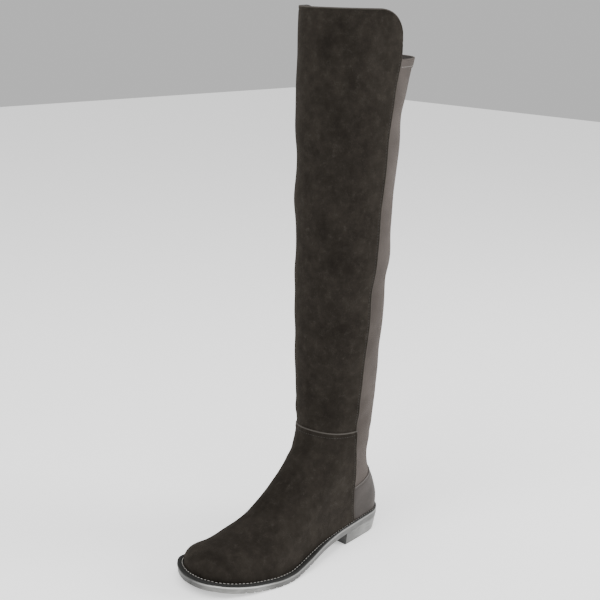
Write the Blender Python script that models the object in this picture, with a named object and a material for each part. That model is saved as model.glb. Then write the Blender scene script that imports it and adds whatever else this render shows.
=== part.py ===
"""Thigh high boot, a left one, standing empty on its sole.

Frame: metres, +Z up, toe towards -Y, +X is the wearer's left, which is the outer (lateral) side of this boot.
The origin is on the floor under the heel's flat bottom, half of HEEL_BREAST behind the heel's straight front.

The upper is worked out from rings. A ring runs round the foot from the heel's back to the toe or the shin.
In side view it is one curve from the back line to the front line. Its half width is the width of the foot
or leg at that place, and it closes to nothing at both ends. Side view places are given as reach (metres
forward of an upright line, which the heel's back passes by HEEL_BULGE) and height (metres over the floor).
"""

import bpy
import numpy as np

# Driving sizes of the foot, in metres
LAST_LENGTH = 0.2505
BALL_WIDTH = 0.0895
BALL_SEAT = 0.0078
HEEL_LIFT = 0.0159
TOE_SPRING = 0.0081
TOE_REACH = 0.0515
HEEL_ROUND = 0.027
HEEL_BULGE = 0.0115

# Driving sizes of the leg. The foot's plan turns into the leg's from BLEND_FOOT up to BLEND_OVER above the ankle.
ANKLE_HEIGHT = 0.1414
ANKLE_FRONT = 0.0976
ANKLE_BACK = 0.0056
ANKLE_HALF_WIDTH = 0.0378
BLEND_FOOT = 0.015
BLEND_OVER = 0.025
TOP_FRONT = 0.1037
TOP_BACK = -0.0142
TOP_HALF_WIDTH = 0.0557
BACK_COLLAR_HEIGHT = 0.540
COLLAR_RISE = 0.0505
COLLAR_FLARE = 0.0155
FLARE_DEPTH = 0.058
COLLAR_CORNER = 0.032
HEM_DEPTH = 0.0095
HEM_STEP = 0.0008

# Walls and clearances
UPPER_WALL = 0.0015
OVERLAY_WALL = 0.0012
CLEARANCE = 0.0003
INSOLE_CLEARANCE = 0.001
INSOLE_WALL = 0.0025

# Sole and heel
WELT_WALL = 0.0016
WELT_LIFT = 0.0003
WELT_INSET = 0.0003
SHELF_HEEL = 0.0015
SHELF_FOREFOOT = 0.0071
HEEL_BREAST = 0.0596
HEEL_SIDE_INSET = 0.0002
HEEL_TAPER = 0.0012
HEEL_BACK_LEAN = 0.0026
SOLE_LIP = 0.0007
SOLE_LIP_HEIGHT = 0.0014
SOLE_CHAMFER = 0.0008
LUG_PITCH = 0.0085
LUG_GROOVE = 0.0024
LUG_DEPTH = 0.0014

# Places of the side seam and of the counter's top edge, as shares, and how suddenly that edge climbs at the back
SEAM_ANKLE = 0.563
SEAM_TOP = 0.455
COUNTER_TOP_SIDE = 0.405
COUNTER_TOP_BACK = 0.46
COUNTER_CLIMB = 1.5

# Lugs start at this share of the last and run on for the next. The sole's edges are this faint beside the heel.
TREAD_START = 0.50
TREAD_RUN = 0.42
HEEL_EDGE_SHARE = 0.25

# Power of the curve round the heel's back: 2 is an ellipse, more is squarer
HEEL_SQUARENESS = 2.3

# How finely the solids are drawn
HALF_COLUMNS = 22
FOOT_ROWS = 16
LEG_ROWS = 8
EAR_ROWS = 4
SOLE_STATIONS = 22

SEAM_COLUMN = HALF_COLUMNS // 2
COLUMNS = 2 * HALF_COLUMNS
OUTSOLE_WALL = BALL_SEAT - CLEARANCE
OVERLAY_OUT = CLEARANCE + OVERLAY_WALL
HEEL_CENTRE = HEEL_BREAST / 2
FRONT_COLLAR_HEIGHT = BACK_COLLAR_HEIGHT + COLLAR_RISE


def table(names, *rows):
    """A short table with named columns, one row for each section."""
    return {name: np.array(column, float) for name, column in zip(names.split(), zip(*rows))}


# Height of the foot's seat along the length: shares of the heel lift and of the toe spring
SEAT = table("share heel toe",
             (0.00, 1.00, 0.00), (0.16, 0.94, 0.00), (0.30, 0.81, 0.00), (0.42, 0.65, 0.00), (0.54, 0.33, 0.00),
             (0.63, 0.03, 0.00), (0.73, 0.00, 0.00), (0.81, 0.00, 0.15), (0.90, 0.00, 0.48), (1.00, 0.00, 1.00))

# Plan of the last: middle line and half widths, as shares of the ball width
PLAN = table("share middle outer inner",
             (0.00, -0.041, 0.281, 0.320), (0.16, -0.019, 0.315, 0.338), (0.30, -0.003, 0.337, 0.303),
             (0.45, 0.010, 0.374, 0.279), (0.58, 0.010, 0.435, 0.350), (0.70, 0.000, 0.474, 0.468),
             (0.82, -0.025, 0.438, 0.498), (0.92, -0.055, 0.424, 0.547), (1.00, -0.080, 0.459, 0.451))

# Front line of the foot: share of the way from ankle to toe tip, share of the way from toe seat to ankle height
FRONT = table("forward height",
              (1.000, 0.000), (0.998, 0.057), (0.979, 0.100), (0.940, 0.140), (0.890, 0.166), (0.807, 0.188),
              (0.678, 0.240), (0.549, 0.307), (0.418, 0.415), (0.281, 0.558), (0.175, 0.672), (0.094, 0.770),
              (0.036, 0.868), (0.000, 1.000))

# Back line of the foot: share of the way from seat to ankle, share of the bulge, share of the hollow above it
BACK = table("height bulge hollow",
             (0.00, 1.00, 0.00), (0.15, 0.93, 0.00), (0.30, 0.50, 0.00), (0.45, 0.00, 0.39), (0.62, 0.00, 1.20),
             (0.80, 0.00, 1.00), (1.00, 0.00, 1.00))

# Leg: share of the way from ankle to front collar, shares of the way to the collar's front, back and half width
LEG = table("height front back half",
            (0.00, 0.00, 0.00, 0.00), (0.12, 0.35, 0.10, 0.20), (0.35, 0.48, 0.37, 0.52), (0.60, 0.50, 0.58, 0.78),
            (0.85, 0.98, 0.95, 0.96), (1.00, 1.00, 1.00, 1.00))

# Roundness of a ring's front end from the sole (0) to the ankle (1), as a power
ROUND = table("rise power", (0.0, 2.35), (0.15, 2.3), (0.4, 2.1), (0.7, 2.05), (1.0, 2.0))

# Place of the side seam on a foot ring from the sole (0) to the ankle (1), as a share of the ring's length
SEAM = table("rise share",
             (0.0, 0.205), (0.1, 0.225), (0.2, 0.244), (0.35, 0.262), (0.5, 0.276), (0.6, 0.300),
             (0.7, 0.348), (0.8, 0.420), (0.9, 0.502), (1.0, SEAM_ANKLE))


def smooth(x, places, values):
    """A curve through the table's points: each stretch is a cubic whose end slopes are shared with its neighbours."""
    gap = np.diff(places)
    rise = np.diff(values) / gap
    slope = np.empty_like(values)
    slope[1:-1] = (rise[:-1] * gap[1:] + rise[1:] * gap[:-1]) / (gap[:-1] + gap[1:])
    slope[0] = rise[0]
    slope[-1] = rise[-1]
    x = np.clip(x, places[0], places[-1])
    i = np.clip(np.searchsorted(places, x, side="right") - 1, 0, len(places) - 2)
    t = (x - places[i]) / gap[i]
    start = (1 + 2 * t) * (1 - t) ** 2 * values[i] + t * (1 - t) ** 2 * gap[i] * slope[i]
    end = t * t * (3 - 2 * t) * values[i + 1] + t * t * (t - 1) * gap[i] * slope[i + 1]
    return start + end


def read(section, column, x):
    """Value of a table's column at x, which runs along its first column."""
    return smooth(x, section[next(iter(section))], section[column])


def ease(x, start, end):
    """0 before start, 1 after end, and a smooth step between them."""
    t = np.clip((x - start) / (end - start), 0, 1)
    return t * t * (3 - 2 * t)


def mix(a, b, share):
    """The value that lies a share of the way from a to b."""
    return a + (b - a) * share


def seat(reach):
    """Height of the upper's lower edge over the floor. Behind the table's first row it stays level."""
    share = reach / LAST_LENGTH
    heel = np.maximum(read(SEAT, "heel", share), 0)
    toe = np.maximum(read(SEAT, "toe", share), 0)
    return BALL_SEAT + HEEL_LIFT * heel + TOE_SPRING * toe


def leg_share(height):
    """0 at the ankle and 1 at the front collar."""
    return (height - ANKLE_HEIGHT) / (FRONT_COLLAR_HEIGHT - ANKLE_HEIGHT)


def back_reach(height):
    """Back line of the boot in side view: heel bulge, hollow, leg and flared collar."""
    share = (height - seat(0.0)) / (ANKLE_HEIGHT - seat(0.0))
    foot = ANKLE_BACK * read(BACK, "hollow", share) - HEEL_BULGE * read(BACK, "bulge", share)
    flare = COLLAR_FLARE * np.clip(1 - (BACK_COLLAR_HEIGHT - height) / FLARE_DEPTH, 0, 1) ** 1.3
    leg = mix(ANKLE_BACK, TOP_BACK, read(LEG, "back", leg_share(height))) - flare
    return np.where(height > ANKLE_HEIGHT, leg, foot)


def shin_reach(height):
    """Front line of the leg in side view."""
    return mix(ANKLE_FRONT, TOP_FRONT, read(LEG, "front", leg_share(height)))


def front_line(points=300):
    """Front line of the foot from toe tip to ankle: reach, height and share of its own length."""
    toe_seat = seat(LAST_LENGTH)
    reach = mix(ANKLE_FRONT, LAST_LENGTH, FRONT["forward"])
    height = mix(toe_seat, ANKLE_HEIGHT, FRONT["height"])
    knots = np.append(0, np.cumsum(np.sqrt(np.hypot(np.diff(reach), np.diff(height)))))
    along = np.linspace(0, knots[-1], points)
    reach = smooth(along, knots, reach)
    height = smooth(along, knots, height)
    length = np.append(0, np.cumsum(np.hypot(np.diff(reach), np.diff(height))))
    return reach, height, length / length[-1]


FRONT_LINE = front_line()


def ring_path(rise, points=241):
    """Side view of a foot ring: a Bezier curve that leaves the heel level and meets the front line squarely.

    rise is 0 at the sole and 1 at the ankle. Heights are measured over the seat, so that the lowest ring
    follows the sole. Gives reach, height and distance from the back.
    """
    reach, height, length = FRONT_LINE
    step = 0.02
    low = max(rise - step, 0)
    high = min(rise + step, 1)
    front = np.array([np.interp(rise, length, reach), np.interp(rise, length, height)])
    along = np.array([np.interp(high, length, line) - np.interp(low, length, line) for line in (reach, height)])
    square = np.array([along[1], -along[0]]) / np.hypot(*along)
    if rise == 0:
        square = np.array([1.0, 0.0])
    back_height = mix(seat(0.0), ANKLE_HEIGHT, rise)
    start = np.array([float(back_reach(back_height)), back_height - seat(0.0)])
    end = np.array([front[0], front[1] - seat(front[0])])
    pull = 0.35 * np.hypot(*(end - start))
    end_pull = pull
    if square[1] > 0.001:
        end_pull = min(pull, 0.6 * end[1] / square[1])
    first = start + [pull, 0]
    second = end - square * end_pull
    q = np.linspace(0, 1, points)[:, None]
    path = (1 - q) ** 3 * start + 3 * q * (1 - q) ** 2 * first + 3 * q * q * (1 - q) * second + q ** 3 * end
    reach = path[:, 0]
    height = path[:, 1] + seat(reach)
    distance = np.append(0, np.cumsum(np.hypot(np.diff(reach), np.diff(height))))
    return reach, height, distance


def closing(distance, reach, power):
    """Share of the full width at a distance from a ring's end: a superellipse over the given reach."""
    away = 1 - np.clip(distance / reach, 0, 1)
    return np.clip(1 - away ** power, 0, 1) ** (1 / power)


def side_widths(reach, height):
    """Full half widths on the outer and inner side, and the middle line: foot below, leg above."""
    share = reach / LAST_LENGTH
    leg = mix(ANKLE_HALF_WIDTH, TOP_HALF_WIDTH, read(LEG, "half", leg_share(np.maximum(height, ANKLE_HEIGHT))))
    to_leg = ease(height, BLEND_FOOT, ANKLE_HEIGHT + BLEND_OVER) * (1 - ease(share, 0.42, 0.85))
    outer = mix(read(PLAN, "outer", share) * BALL_WIDTH, leg, to_leg)
    inner = mix(read(PLAN, "inner", share) * BALL_WIDTH, leg, to_leg)
    return outer, inner, read(PLAN, "middle", share) * BALL_WIDTH * (1 - to_leg)


def foot_ring(rise, share):
    """Reach, height, outer x and inner x of a foot ring's points."""
    path_reach, path_height, length = ring_path(rise)
    distance = share * length[-1]
    reach = np.interp(distance, length, path_reach)
    height = np.interp(distance, length, path_height)
    half = length[-1] / 2
    front = mix(TOE_REACH * (1 - 0.1 * rise), half, ease(rise, 0.55, 1.0))
    back = mix(HEEL_ROUND, half, ease(rise, 0.1, 1.0))
    power = float(read(ROUND, "power", rise))
    back_power = mix(HEEL_SQUARENESS, 2, ease(rise, 0.1, 1.0))
    width = closing(length[-1] - distance, front, power) * closing(distance, back, back_power)
    outer, inner, middle = side_widths(reach, height)
    return reach, height, middle + outer * width, middle - inner * width


def leg_ring(height, share):
    """The same for a ring of the leg, an ellipse in plan. height has one value for each share."""
    front = shin_reach(height)
    back = back_reach(height)
    half = (front - back) / 2
    reach = mix(back, front, share)
    width = closing(front - reach, half, 2) * closing(reach - back, half, 2)
    outer, inner, middle = side_widths(reach, height)
    return reach, height, middle + outer * width, middle - inner * width


def spread(angle, seam):
    """Share along a ring for an angle of 0 at the back and pi at the front. At pi / 2 it is the seam's share."""
    even = (1 - np.cos(angle)) / 2
    pull = seam / (1 - seam)
    return pull * even / (1 + (pull - 1) * even)


def seam_share(height):
    """Place of the side seam on a leg ring."""
    share = np.clip((height - ANKLE_HEIGHT) / (BACK_COLLAR_HEIGHT - ANKLE_HEIGHT), 0, 1)
    return mix(SEAM_ANKLE, SEAM_TOP, share)


def foot_row(rise, angle):
    return foot_ring(rise, spread(angle, read(SEAM, "share", rise)))


def leg_row(height, angle):
    return leg_ring(height, spread(angle, seam_share(height)))


def collar_height(angle):
    """Top edge of the front panel: level, with a quarter circle down to its back corner."""
    corner = min(COLLAR_CORNER, COLLAR_RISE)
    quarter_girth = (TOP_FRONT - TOP_BACK + COLLAR_FLARE) / 2
    from_seam = np.clip((angle - np.pi / 2) * quarter_girth / corner, 0, 1)
    return FRONT_COLLAR_HEIGHT - corner * (1 - np.sqrt(1 - (1 - from_seam) ** 2))


def round_row(row):
    """A closed row of points: up the outer side from back to front, then down the inner side."""
    reach, height, outer, inner = row
    first = np.stack([outer, HEEL_CENTRE - reach, height], -1)
    second = np.stack([inner, HEEL_CENTRE - reach, height], -1)
    return np.concatenate([first, second[-2:0:-1]])


ANGLES = np.linspace(0, np.pi, HALF_COLUMNS + 1)
RISES = np.linspace(0, 1, FOOT_ROWS + 1) ** 1.3


def surface():
    """Grid of the upper's outer face: foot rows, leg rows up to the hem and the back collar, then the ear's rows."""
    foot = [foot_row(rise, ANGLES) for rise in RISES]
    hem_foot = BACK_COLLAR_HEIGHT - HEM_DEPTH
    flare_foot = BACK_COLLAR_HEIGHT - FLARE_DEPTH
    heights = list(np.linspace(ANKLE_HEIGHT, flare_foot, LEG_ROWS + 1)[1:])
    heights += list(np.linspace(flare_foot, hem_foot, 4)[1:])
    heights += [hem_foot + HEM_STEP, BACK_COLLAR_HEIGHT]
    leg = [leg_row(np.full_like(ANGLES, height), ANGLES) for height in heights]
    top = collar_height(np.maximum(ANGLES, np.pi / 2))
    ear = [leg_row(mix(BACK_COLLAR_HEIGHT, top, share), ANGLES) for share in np.linspace(0, 1, EAR_ROWS + 1)[1:]]
    return np.array([round_row(row) for row in foot + leg + ear])


GRID = surface()
ANKLE_ROW = FOOT_ROWS
COLLAR_ROW = len(GRID) - 1 - EAR_ROWS
HEM_ROW = COLLAR_ROW - 1


def outward(grid):
    """Unit normals of a grid of closed rows, from the differences between neighbouring points."""
    around = np.roll(grid, -1, 1) - np.roll(grid, 1, 1)
    up = np.gradient(grid, axis=0)
    normal = np.cross(up, around)
    return normal / np.linalg.norm(normal, axis=-1, keepdims=True)


NORMALS = outward(GRID)


def layer(distance):
    """The grid moved outwards. The sole's row and the collar's rows keep their heights."""
    moved = GRID + NORMALS * distance
    moved[0, :, 2] = GRID[0, :, 2]
    moved[COLLAR_ROW:, :, 2] = GRID[COLLAR_ROW:, :, 2]
    return moved


def material(name, colour, roughness, metallic=0.0):
    made = bpy.data.materials.new(name)
    made.use_nodes = True
    shader = made.node_tree.nodes["Principled BSDF"]
    shader.inputs["Base Color"].default_value = (*colour, 1.0)
    shader.inputs["Roughness"].default_value = roughness
    shader.inputs["Metallic"].default_value = metallic
    return made


def solid(name, points, faces, finish):
    """One named object at the origin, with smooth faces and sharp edges past 40 degrees."""
    mesh = bpy.data.meshes.new(name)
    mesh.from_pydata([tuple(point) for point in points], [], faces)
    mesh.validate()
    mesh.shade_smooth()
    mesh.set_sharp_from_angle(angle=np.radians(40))
    mesh.materials.append(finish)
    made = bpy.data.objects.new(name, mesh)
    bpy.context.scene.collection.objects.link(made)
    return made


def wall(name, outer, inner, cells, finish):
    """A sheet with thickness: both faces of the grid's used cells, and a rim along each edge that one cell uses.

    A cell is cut in two along the same diagonal on both faces, so that neighbouring layers stay parallel.
    """
    rows, columns = outer.shape[:2]
    points = np.concatenate([outer.reshape(-1, 3), inner.reshape(-1, 3)])
    inside = rows * columns
    faces = []
    edges = {}
    for row, column in zip(*np.nonzero(cells)):
        beside = (column + 1) % columns
        a = row * columns + column
        b = row * columns + beside
        c = (row + 1) * columns + beside
        d = (row + 1) * columns + column
        faces += [(a, c, b), (a, d, c), (inside + a, inside + b, inside + c), (inside + a, inside + c, inside + d)]
        for edge in ((a, b), (b, c), (c, d), (d, a)):
            edges[edge] = True
    for start, end in edges:
        if (end, start) not in edges:
            faces += [(start, end, inside + start), (end, inside + end, inside + start)]
    used = sorted({corner for face in faces for corner in face})
    place = {corner: number for number, corner in enumerate(used)}
    faces = [tuple(place[corner] for corner in face) for face in faces]
    return solid(name, points[used], faces, finish)


def pull_in(grid, bottom, top, sides):
    """A copy of an open grid whose edges are drawn back by the given distances, along the grid's own cells."""
    made = grid.copy()

    def draw(edge, beside, distance):
        span = beside - edge
        length = np.linalg.norm(span, axis=-1, keepdims=True)
        return edge + span * (distance / length)

    made[:, 0] = draw(grid[:, 0], grid[:, 1], sides)
    made[:, -1] = draw(grid[:, -1], grid[:, -2], sides)
    edges = made.copy()
    made[0] = draw(edges[0], edges[1], bottom)
    made[-1] = draw(edges[-1], edges[-2], top)
    return made


def panel(name, columns, first_row, last_row, finish, bottom=0.0, top=0.0, sides=0.0):
    """An overlay on a stretch of the grid, a clearance outside the upper."""
    faces = []
    for distance in (OVERLAY_OUT, CLEARANCE):
        grid = layer(distance)[first_row:last_row + 1][:, columns]
        faces.append(pull_in(grid, bottom, top, sides))
    outer, inner = faces
    cells = np.ones((outer.shape[0] - 1, outer.shape[1]), bool)
    cells[:, -1] = False
    return wall(name, outer, inner, cells, finish)


def make_upper(finish):
    """The hollow boot: foot, leg and the ear behind the front panel. The hem is a step in the back collar's wall."""
    outer = layer(0.0)
    back = [column for column in range(COLUMNS) if column < SEAM_COLUMN or column > COLUMNS - SEAM_COLUMN]
    thicker = layer(HEM_STEP)
    outer[HEM_ROW:COLLAR_ROW + 1, back] = thicker[HEM_ROW:COLLAR_ROW + 1, back]
    cells = np.ones((len(GRID) - 1, COLUMNS), bool)
    cells[COLLAR_ROW:, :SEAM_COLUMN] = False
    cells[COLLAR_ROW:, COLUMNS - SEAM_COLUMN:] = False
    return wall("upper", outer, layer(-UPPER_WALL), cells, finish)


def make_counter(finish):
    """The heel counter: between the side seams, from the sole to a top edge that climbs to the back."""
    columns = np.arange(-SEAM_COLUMN, SEAM_COLUMN + 1)
    slant = 1 - np.abs(columns) / SEAM_COLUMN
    top = mix(COUNTER_TOP_SIDE, COUNTER_TOP_BACK, slant ** COUNTER_CLIMB)
    level = RISES[RISES < 0.9 * COUNTER_TOP_SIDE]
    slanted = [mix(level[-1], top, share) for share in (0.25, 0.5, 0.75, 1.0)]
    wanted = np.array([np.full(len(columns), rise) for rise in level] + slanted)
    rows = len(wanted)
    faces = []
    for distance in (OVERLAY_OUT, CLEARANCE):
        foot = layer(distance)[:FOOT_ROWS + 1][:, columns]
        grid = np.empty((rows, len(columns), 3))
        for column in range(len(columns)):
            for axis in range(3):
                grid[:, column, axis] = np.interp(wanted[:, column], RISES, foot[:, column, axis])
        faces.append(pull_in(grid, 0.0, 0.0, CLEARANCE))
    outer, inner = faces
    cells = np.ones((rows - 1, len(columns)), bool)
    cells[:, -1] = False
    return wall("counter", outer, inner, cells, finish)


def sole_edge(stations, out):
    """Outer and inner edge of the sole's plan at stations along the last, moved outwards by a distance.

    out is one number, or a function of reach.
    """
    share = (1 - np.cos(np.linspace(0, np.pi, 401))) / 2
    reach, height, outer, inner = foot_ring(0.0, share)
    edges = []
    for side, sign in ((outer, 1), (inner, -1)):
        plan = np.stack([side, HEEL_CENTRE - reach], -1)
        along = np.gradient(plan, axis=0)
        normal = sign * np.stack([-along[:, 1], along[:, 0]], -1)
        normal /= np.linalg.norm(normal, axis=1, keepdims=True)
        distance = out(reach) if callable(out) else out
        moved = plan + normal * np.reshape(distance, (-1, 1))
        edges.append(np.stack([np.interp(stations, reach, moved[:, axis]) for axis in (0, 1)], -1))
    return edges


def shelf(reach):
    """How far the sole stands out past the overlays' faces."""
    return OVERLAY_OUT + mix(SHELF_HEEL, SHELF_FOREFOOT, ease(reach / LAST_LENGTH, 0.25, 0.55))


def edge_strength(reach):
    """How strongly the sole's lip and chamfer show: fully round the forefoot, faintly beside the heel."""
    return mix(HEEL_EDGE_SHARE, 1, ease(reach / LAST_LENGTH, 0.25, 0.45))


def waist(reach):
    """How far the sole's side stands out below its lip."""
    return shelf(reach) - SOLE_LIP * edge_strength(reach)


def seat_at(points):
    """Seat height under plan points, which may lie just past the last's ends."""
    return seat(HEEL_CENTRE - points[:, 1])


def lifted(points, heights):
    return np.column_stack([points, heights])


def loft(name, sections, finish):
    """A solid through closed sections of equal size, with flat ends."""
    count, corners = sections.shape[:2]
    faces = []
    for row in range(count - 1):
        for corner in range(corners):
            beside = (corner + 1) % corners
            a = row * corners + corner
            b = row * corners + beside
            faces += [(a, b + corners, b), (a, a + corners, b + corners)]
    faces.append(tuple(range(corners)))
    faces.append(tuple(reversed(range((count - 1) * corners, count * corners))))
    return solid(name, sections.reshape(-1, 3), faces, finish)


def end_stations(first, last):
    """Stations between two places of the last, closer together towards heel back and toe tip."""
    angle = np.pi * (np.arange(SOLE_STATIONS) + 0.3) / (SOLE_STATIONS - 0.4)
    reach = mix(-HEEL_BULGE, LAST_LENGTH, (1 - np.cos(angle)) / 2)
    return reach[(reach > first) & (reach < last)]


def make_outsole(finish):
    """Outsole: flat top, a lip along its upper edge, chamfered foot, and lugs cut across the forefoot."""
    tread_start = TREAD_START * LAST_LENGTH
    lugs = int(round(TREAD_RUN * LAST_LENGTH / LUG_PITCH))
    stations = [(reach, 0.0) for reach in end_stations(-HEEL_BULGE, tread_start - LUG_GROOVE)]
    slope = 0.1 * LUG_GROOVE
    for lug in range(lugs):
        start = tread_start + lug * LUG_PITCH
        stations += [(start, 0.0), (start + slope, 1.0), (start + LUG_GROOVE - slope, 1.0), (start + LUG_GROOVE, 0.0)]
    tread_end = tread_start + lugs * LUG_PITCH
    stations += [(reach, 0.0) for reach in end_stations(tread_end - LUG_PITCH / 2, LAST_LENGTH)]
    reach, groove = np.array(stations).T
    chamfer = SOLE_CHAMFER * edge_strength(reach)
    sides = []
    for number in (0, 1):
        edge = sole_edge(reach, shelf)[number]
        side = sole_edge(reach, waist)[number]
        foot = sole_edge(reach, lambda place: waist(place) - SOLE_CHAMFER * edge_strength(place))[number]
        top = seat_at(edge) - CLEARANCE
        bottom = seat_at(foot) - CLEARANCE - OUTSOLE_WALL + groove * LUG_DEPTH
        sides.append([lifted(edge, top),
                      lifted(edge, top - SOLE_LIP_HEIGHT),
                      lifted(side, top - SOLE_LIP_HEIGHT - SOLE_LIP),
                      lifted(side, bottom + chamfer),
                      lifted(foot, bottom)])
    sections = np.stack(sides[0] + sides[1][::-1], 1)
    return loft("outsole", sections, finish)


def make_heel(finish):
    """Heel block: its top follows the outsole, its bottom is flat on the floor and its breast is straight.

    Its back leans forward towards the floor.
    """
    reach = np.append(end_stations(-HEEL_BULGE, 0.95 * HEEL_BREAST), HEEL_BREAST)
    lean = HEEL_BACK_LEAN * (1 - reach / HEEL_BREAST)
    top_edges = sole_edge(reach, lambda place: waist(place) - HEEL_SIDE_INSET)
    foot_edges = sole_edge(reach, lambda place: waist(place) - HEEL_SIDE_INSET - HEEL_TAPER)
    sides = []
    for top_edge, foot_edge in zip(top_edges, foot_edges):
        foot_edge[:, 1] -= lean
        under_sole = seat_at(top_edge) - 2 * CLEARANCE - OUTSOLE_WALL
        sides.append([lifted(top_edge, under_sole), lifted(foot_edge, np.zeros(len(reach)))])
    sections = np.stack(sides[0] + sides[1][::-1], 1)
    return loft("heel", sections, finish)


def beside(distance, clearance, height):
    """Closed loop beside a layer of the foot, at a height over its lower edge, a clearance outwards in plan.

    clearance is one number, or a function of reach. The loop's points stay beside the grid's own columns.
    """
    low, high = layer(distance)[:2]
    plan = mix(low, high, height / (high[:, 2:] - low[:, 2:]))[:, :2]
    around = np.roll(plan, -1, 0) - np.roll(plan, 1, 0)
    normal = np.stack([-around[:, 1], around[:, 0]], -1)
    normal /= np.linalg.norm(normal, axis=1, keepdims=True)
    out = clearance(HEEL_CENTRE - plan[:, 1]) if callable(clearance) else clearance
    moved = plan + normal * np.reshape(out, (-1, 1))
    return lifted(moved, seat_at(moved) + height)


def make_insole(finish):
    """Insole: a plate inside the upper's wall, on the outsole."""
    lower = beside(-UPPER_WALL, -INSOLE_CLEARANCE, 0)
    upper = beside(-UPPER_WALL, -INSOLE_CLEARANCE, INSOLE_WALL)
    faces = []
    for a in range(COLUMNS):
        b = (a + 1) % COLUMNS
        faces.append((a, COLUMNS + a, COLUMNS + b, b))
    for a in range(HALF_COLUMNS):
        strip = (a, a + 1, (COLUMNS - a - 1) % COLUMNS, (COLUMNS - a) % COLUMNS)
        corners = tuple(dict.fromkeys(strip))
        faces.append(corners)
        faces.append(tuple(COLUMNS + corner for corner in reversed(corners)))
    return solid("insole", np.concatenate([lower, upper]), faces, finish)


def make_welt(finish):
    """Welt: a narrow strip on the outsole, all round the foot, flush with the sole's edge but for a small step."""
    outer = beside(0, lambda place: shelf(place) - WELT_INSET, WELT_LIFT)
    inner = np.stack([beside(OVERLAY_OUT, CLEARANCE, WELT_LIFT + height) for height in (0, WELT_WALL)])
    cells = np.ones((1, COLUMNS), bool)
    return wall("welt", np.stack([outer, outer + [0, 0, WELT_WALL]]), inner, cells, finish)


def main():
    for old in list(bpy.data.objects):
        bpy.data.objects.remove(old)
    suede = material("suede", (0.052, 0.042, 0.036), 0.95)
    stretch = material("stretch_cloth", (0.105, 0.092, 0.082), 0.85)
    smooth_leather = material("counter_leather", (0.10, 0.086, 0.075), 0.55)
    board = material("insole_board", (0.16, 0.13, 0.10), 0.8)
    strip = material("welt_rubber", (0.075, 0.072, 0.07), 0.6)
    rubber = material("sole_rubber", (0.06, 0.058, 0.057), 0.55)
    stack = material("heel_stack", (0.085, 0.082, 0.08), 0.4)
    front_columns = np.arange(SEAM_COLUMN, COLUMNS - SEAM_COLUMN + 1)
    make_upper(stretch)
    panel("vamp", front_columns, 0, ANKLE_ROW, suede, top=CLEARANCE / 2)
    panel("shaft_front", front_columns, ANKLE_ROW, len(GRID) - 1, suede, bottom=CLEARANCE / 2)
    make_counter(smooth_leather)
    make_insole(board)
    make_welt(strip)
    make_outsole(rubber)
    make_heel(stack)


main()
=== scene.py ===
# %% [markdown]
# # A thigh high boot
# This notebook dresses the plain solids of a left boot: suede in front, stretch cloth behind, a leather heel counter,
# and a rubber sole with a low block heel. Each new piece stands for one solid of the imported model.
# The frame comes first, because every surface below has to lie where its solid lies.

# %% Load the frame
import bpy
import numpy as np
from mathutils import Matrix


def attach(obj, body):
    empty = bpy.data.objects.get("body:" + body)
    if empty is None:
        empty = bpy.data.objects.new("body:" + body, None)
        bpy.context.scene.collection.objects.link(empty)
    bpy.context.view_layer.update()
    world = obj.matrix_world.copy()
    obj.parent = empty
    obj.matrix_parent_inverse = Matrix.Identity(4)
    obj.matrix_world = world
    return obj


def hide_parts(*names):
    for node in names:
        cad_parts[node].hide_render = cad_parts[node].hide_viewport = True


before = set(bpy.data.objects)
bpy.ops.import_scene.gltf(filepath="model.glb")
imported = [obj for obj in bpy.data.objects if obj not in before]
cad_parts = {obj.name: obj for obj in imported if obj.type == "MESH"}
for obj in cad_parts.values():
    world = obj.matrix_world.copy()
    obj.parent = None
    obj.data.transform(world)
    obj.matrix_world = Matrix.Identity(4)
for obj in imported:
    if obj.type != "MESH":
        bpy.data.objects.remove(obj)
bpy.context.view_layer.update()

# %% [markdown]
# ## The sizes
# A boot is drawn on a last, a model of the foot. Its length and its width at the ball set the foot, and a few heights
# and widths set the leg. They are the solids' own sizes, in metres, written again here.
# Side view places are height over the floor and reach, the distance forward of an upright line inside the heel.

# %% Sizes of foot, leg and sole
LAST_LENGTH, BALL_WIDTH, BALL_SEAT, HEEL_LIFT, TOE_SPRING = 0.2505, 0.0895, 0.0078, 0.0159, 0.0081
TOE_REACH, HEEL_ROUND, HEEL_SQUARENESS, HEEL_BULGE = 0.0515, 0.027, 2.3, 0.0115
ANKLE_HEIGHT, ANKLE_FRONT, ANKLE_BACK, ANKLE_HALF_WIDTH = 0.1414, 0.0976, 0.0056, 0.0378
BLEND_FOOT, BLEND_OVER = 0.015, 0.025
TOP_FRONT, TOP_BACK, TOP_HALF_WIDTH = 0.1037, -0.0142, 0.0557
BACK_COLLAR_HEIGHT, COLLAR_RISE = 0.540, 0.0505
COLLAR_FLARE, FLARE_DEPTH, COLLAR_CORNER, HEM_DEPTH, HEM_STEP = 0.0155, 0.058, 0.032, 0.0095, 0.0008
UPPER_WALL, OVERLAY_WALL, CLEARANCE, INSOLE_CLEARANCE, INSOLE_WALL = 0.0015, 0.0012, 0.0003, 0.001, 0.0025
WELT_WALL, WELT_LIFT, WELT_INSET, SHELF_HEEL, SHELF_FOREFOOT = 0.0016, 0.0003, 0.0003, 0.0015, 0.0071
HEEL_BREAST, HEEL_SIDE_INSET, HEEL_TAPER, HEEL_BACK_LEAN = 0.0596, 0.0002, 0.0012, 0.0026
SOLE_LIP, SOLE_LIP_HEIGHT, SOLE_CHAMFER, HEEL_EDGE_SHARE = 0.0007, 0.0014, 0.0008, 0.25
LUG_PITCH, LUG_GROOVE, LUG_DEPTH, TREAD_START, TREAD_RUN = 0.0085, 0.0024, 0.0014, 0.50, 0.42
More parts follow.
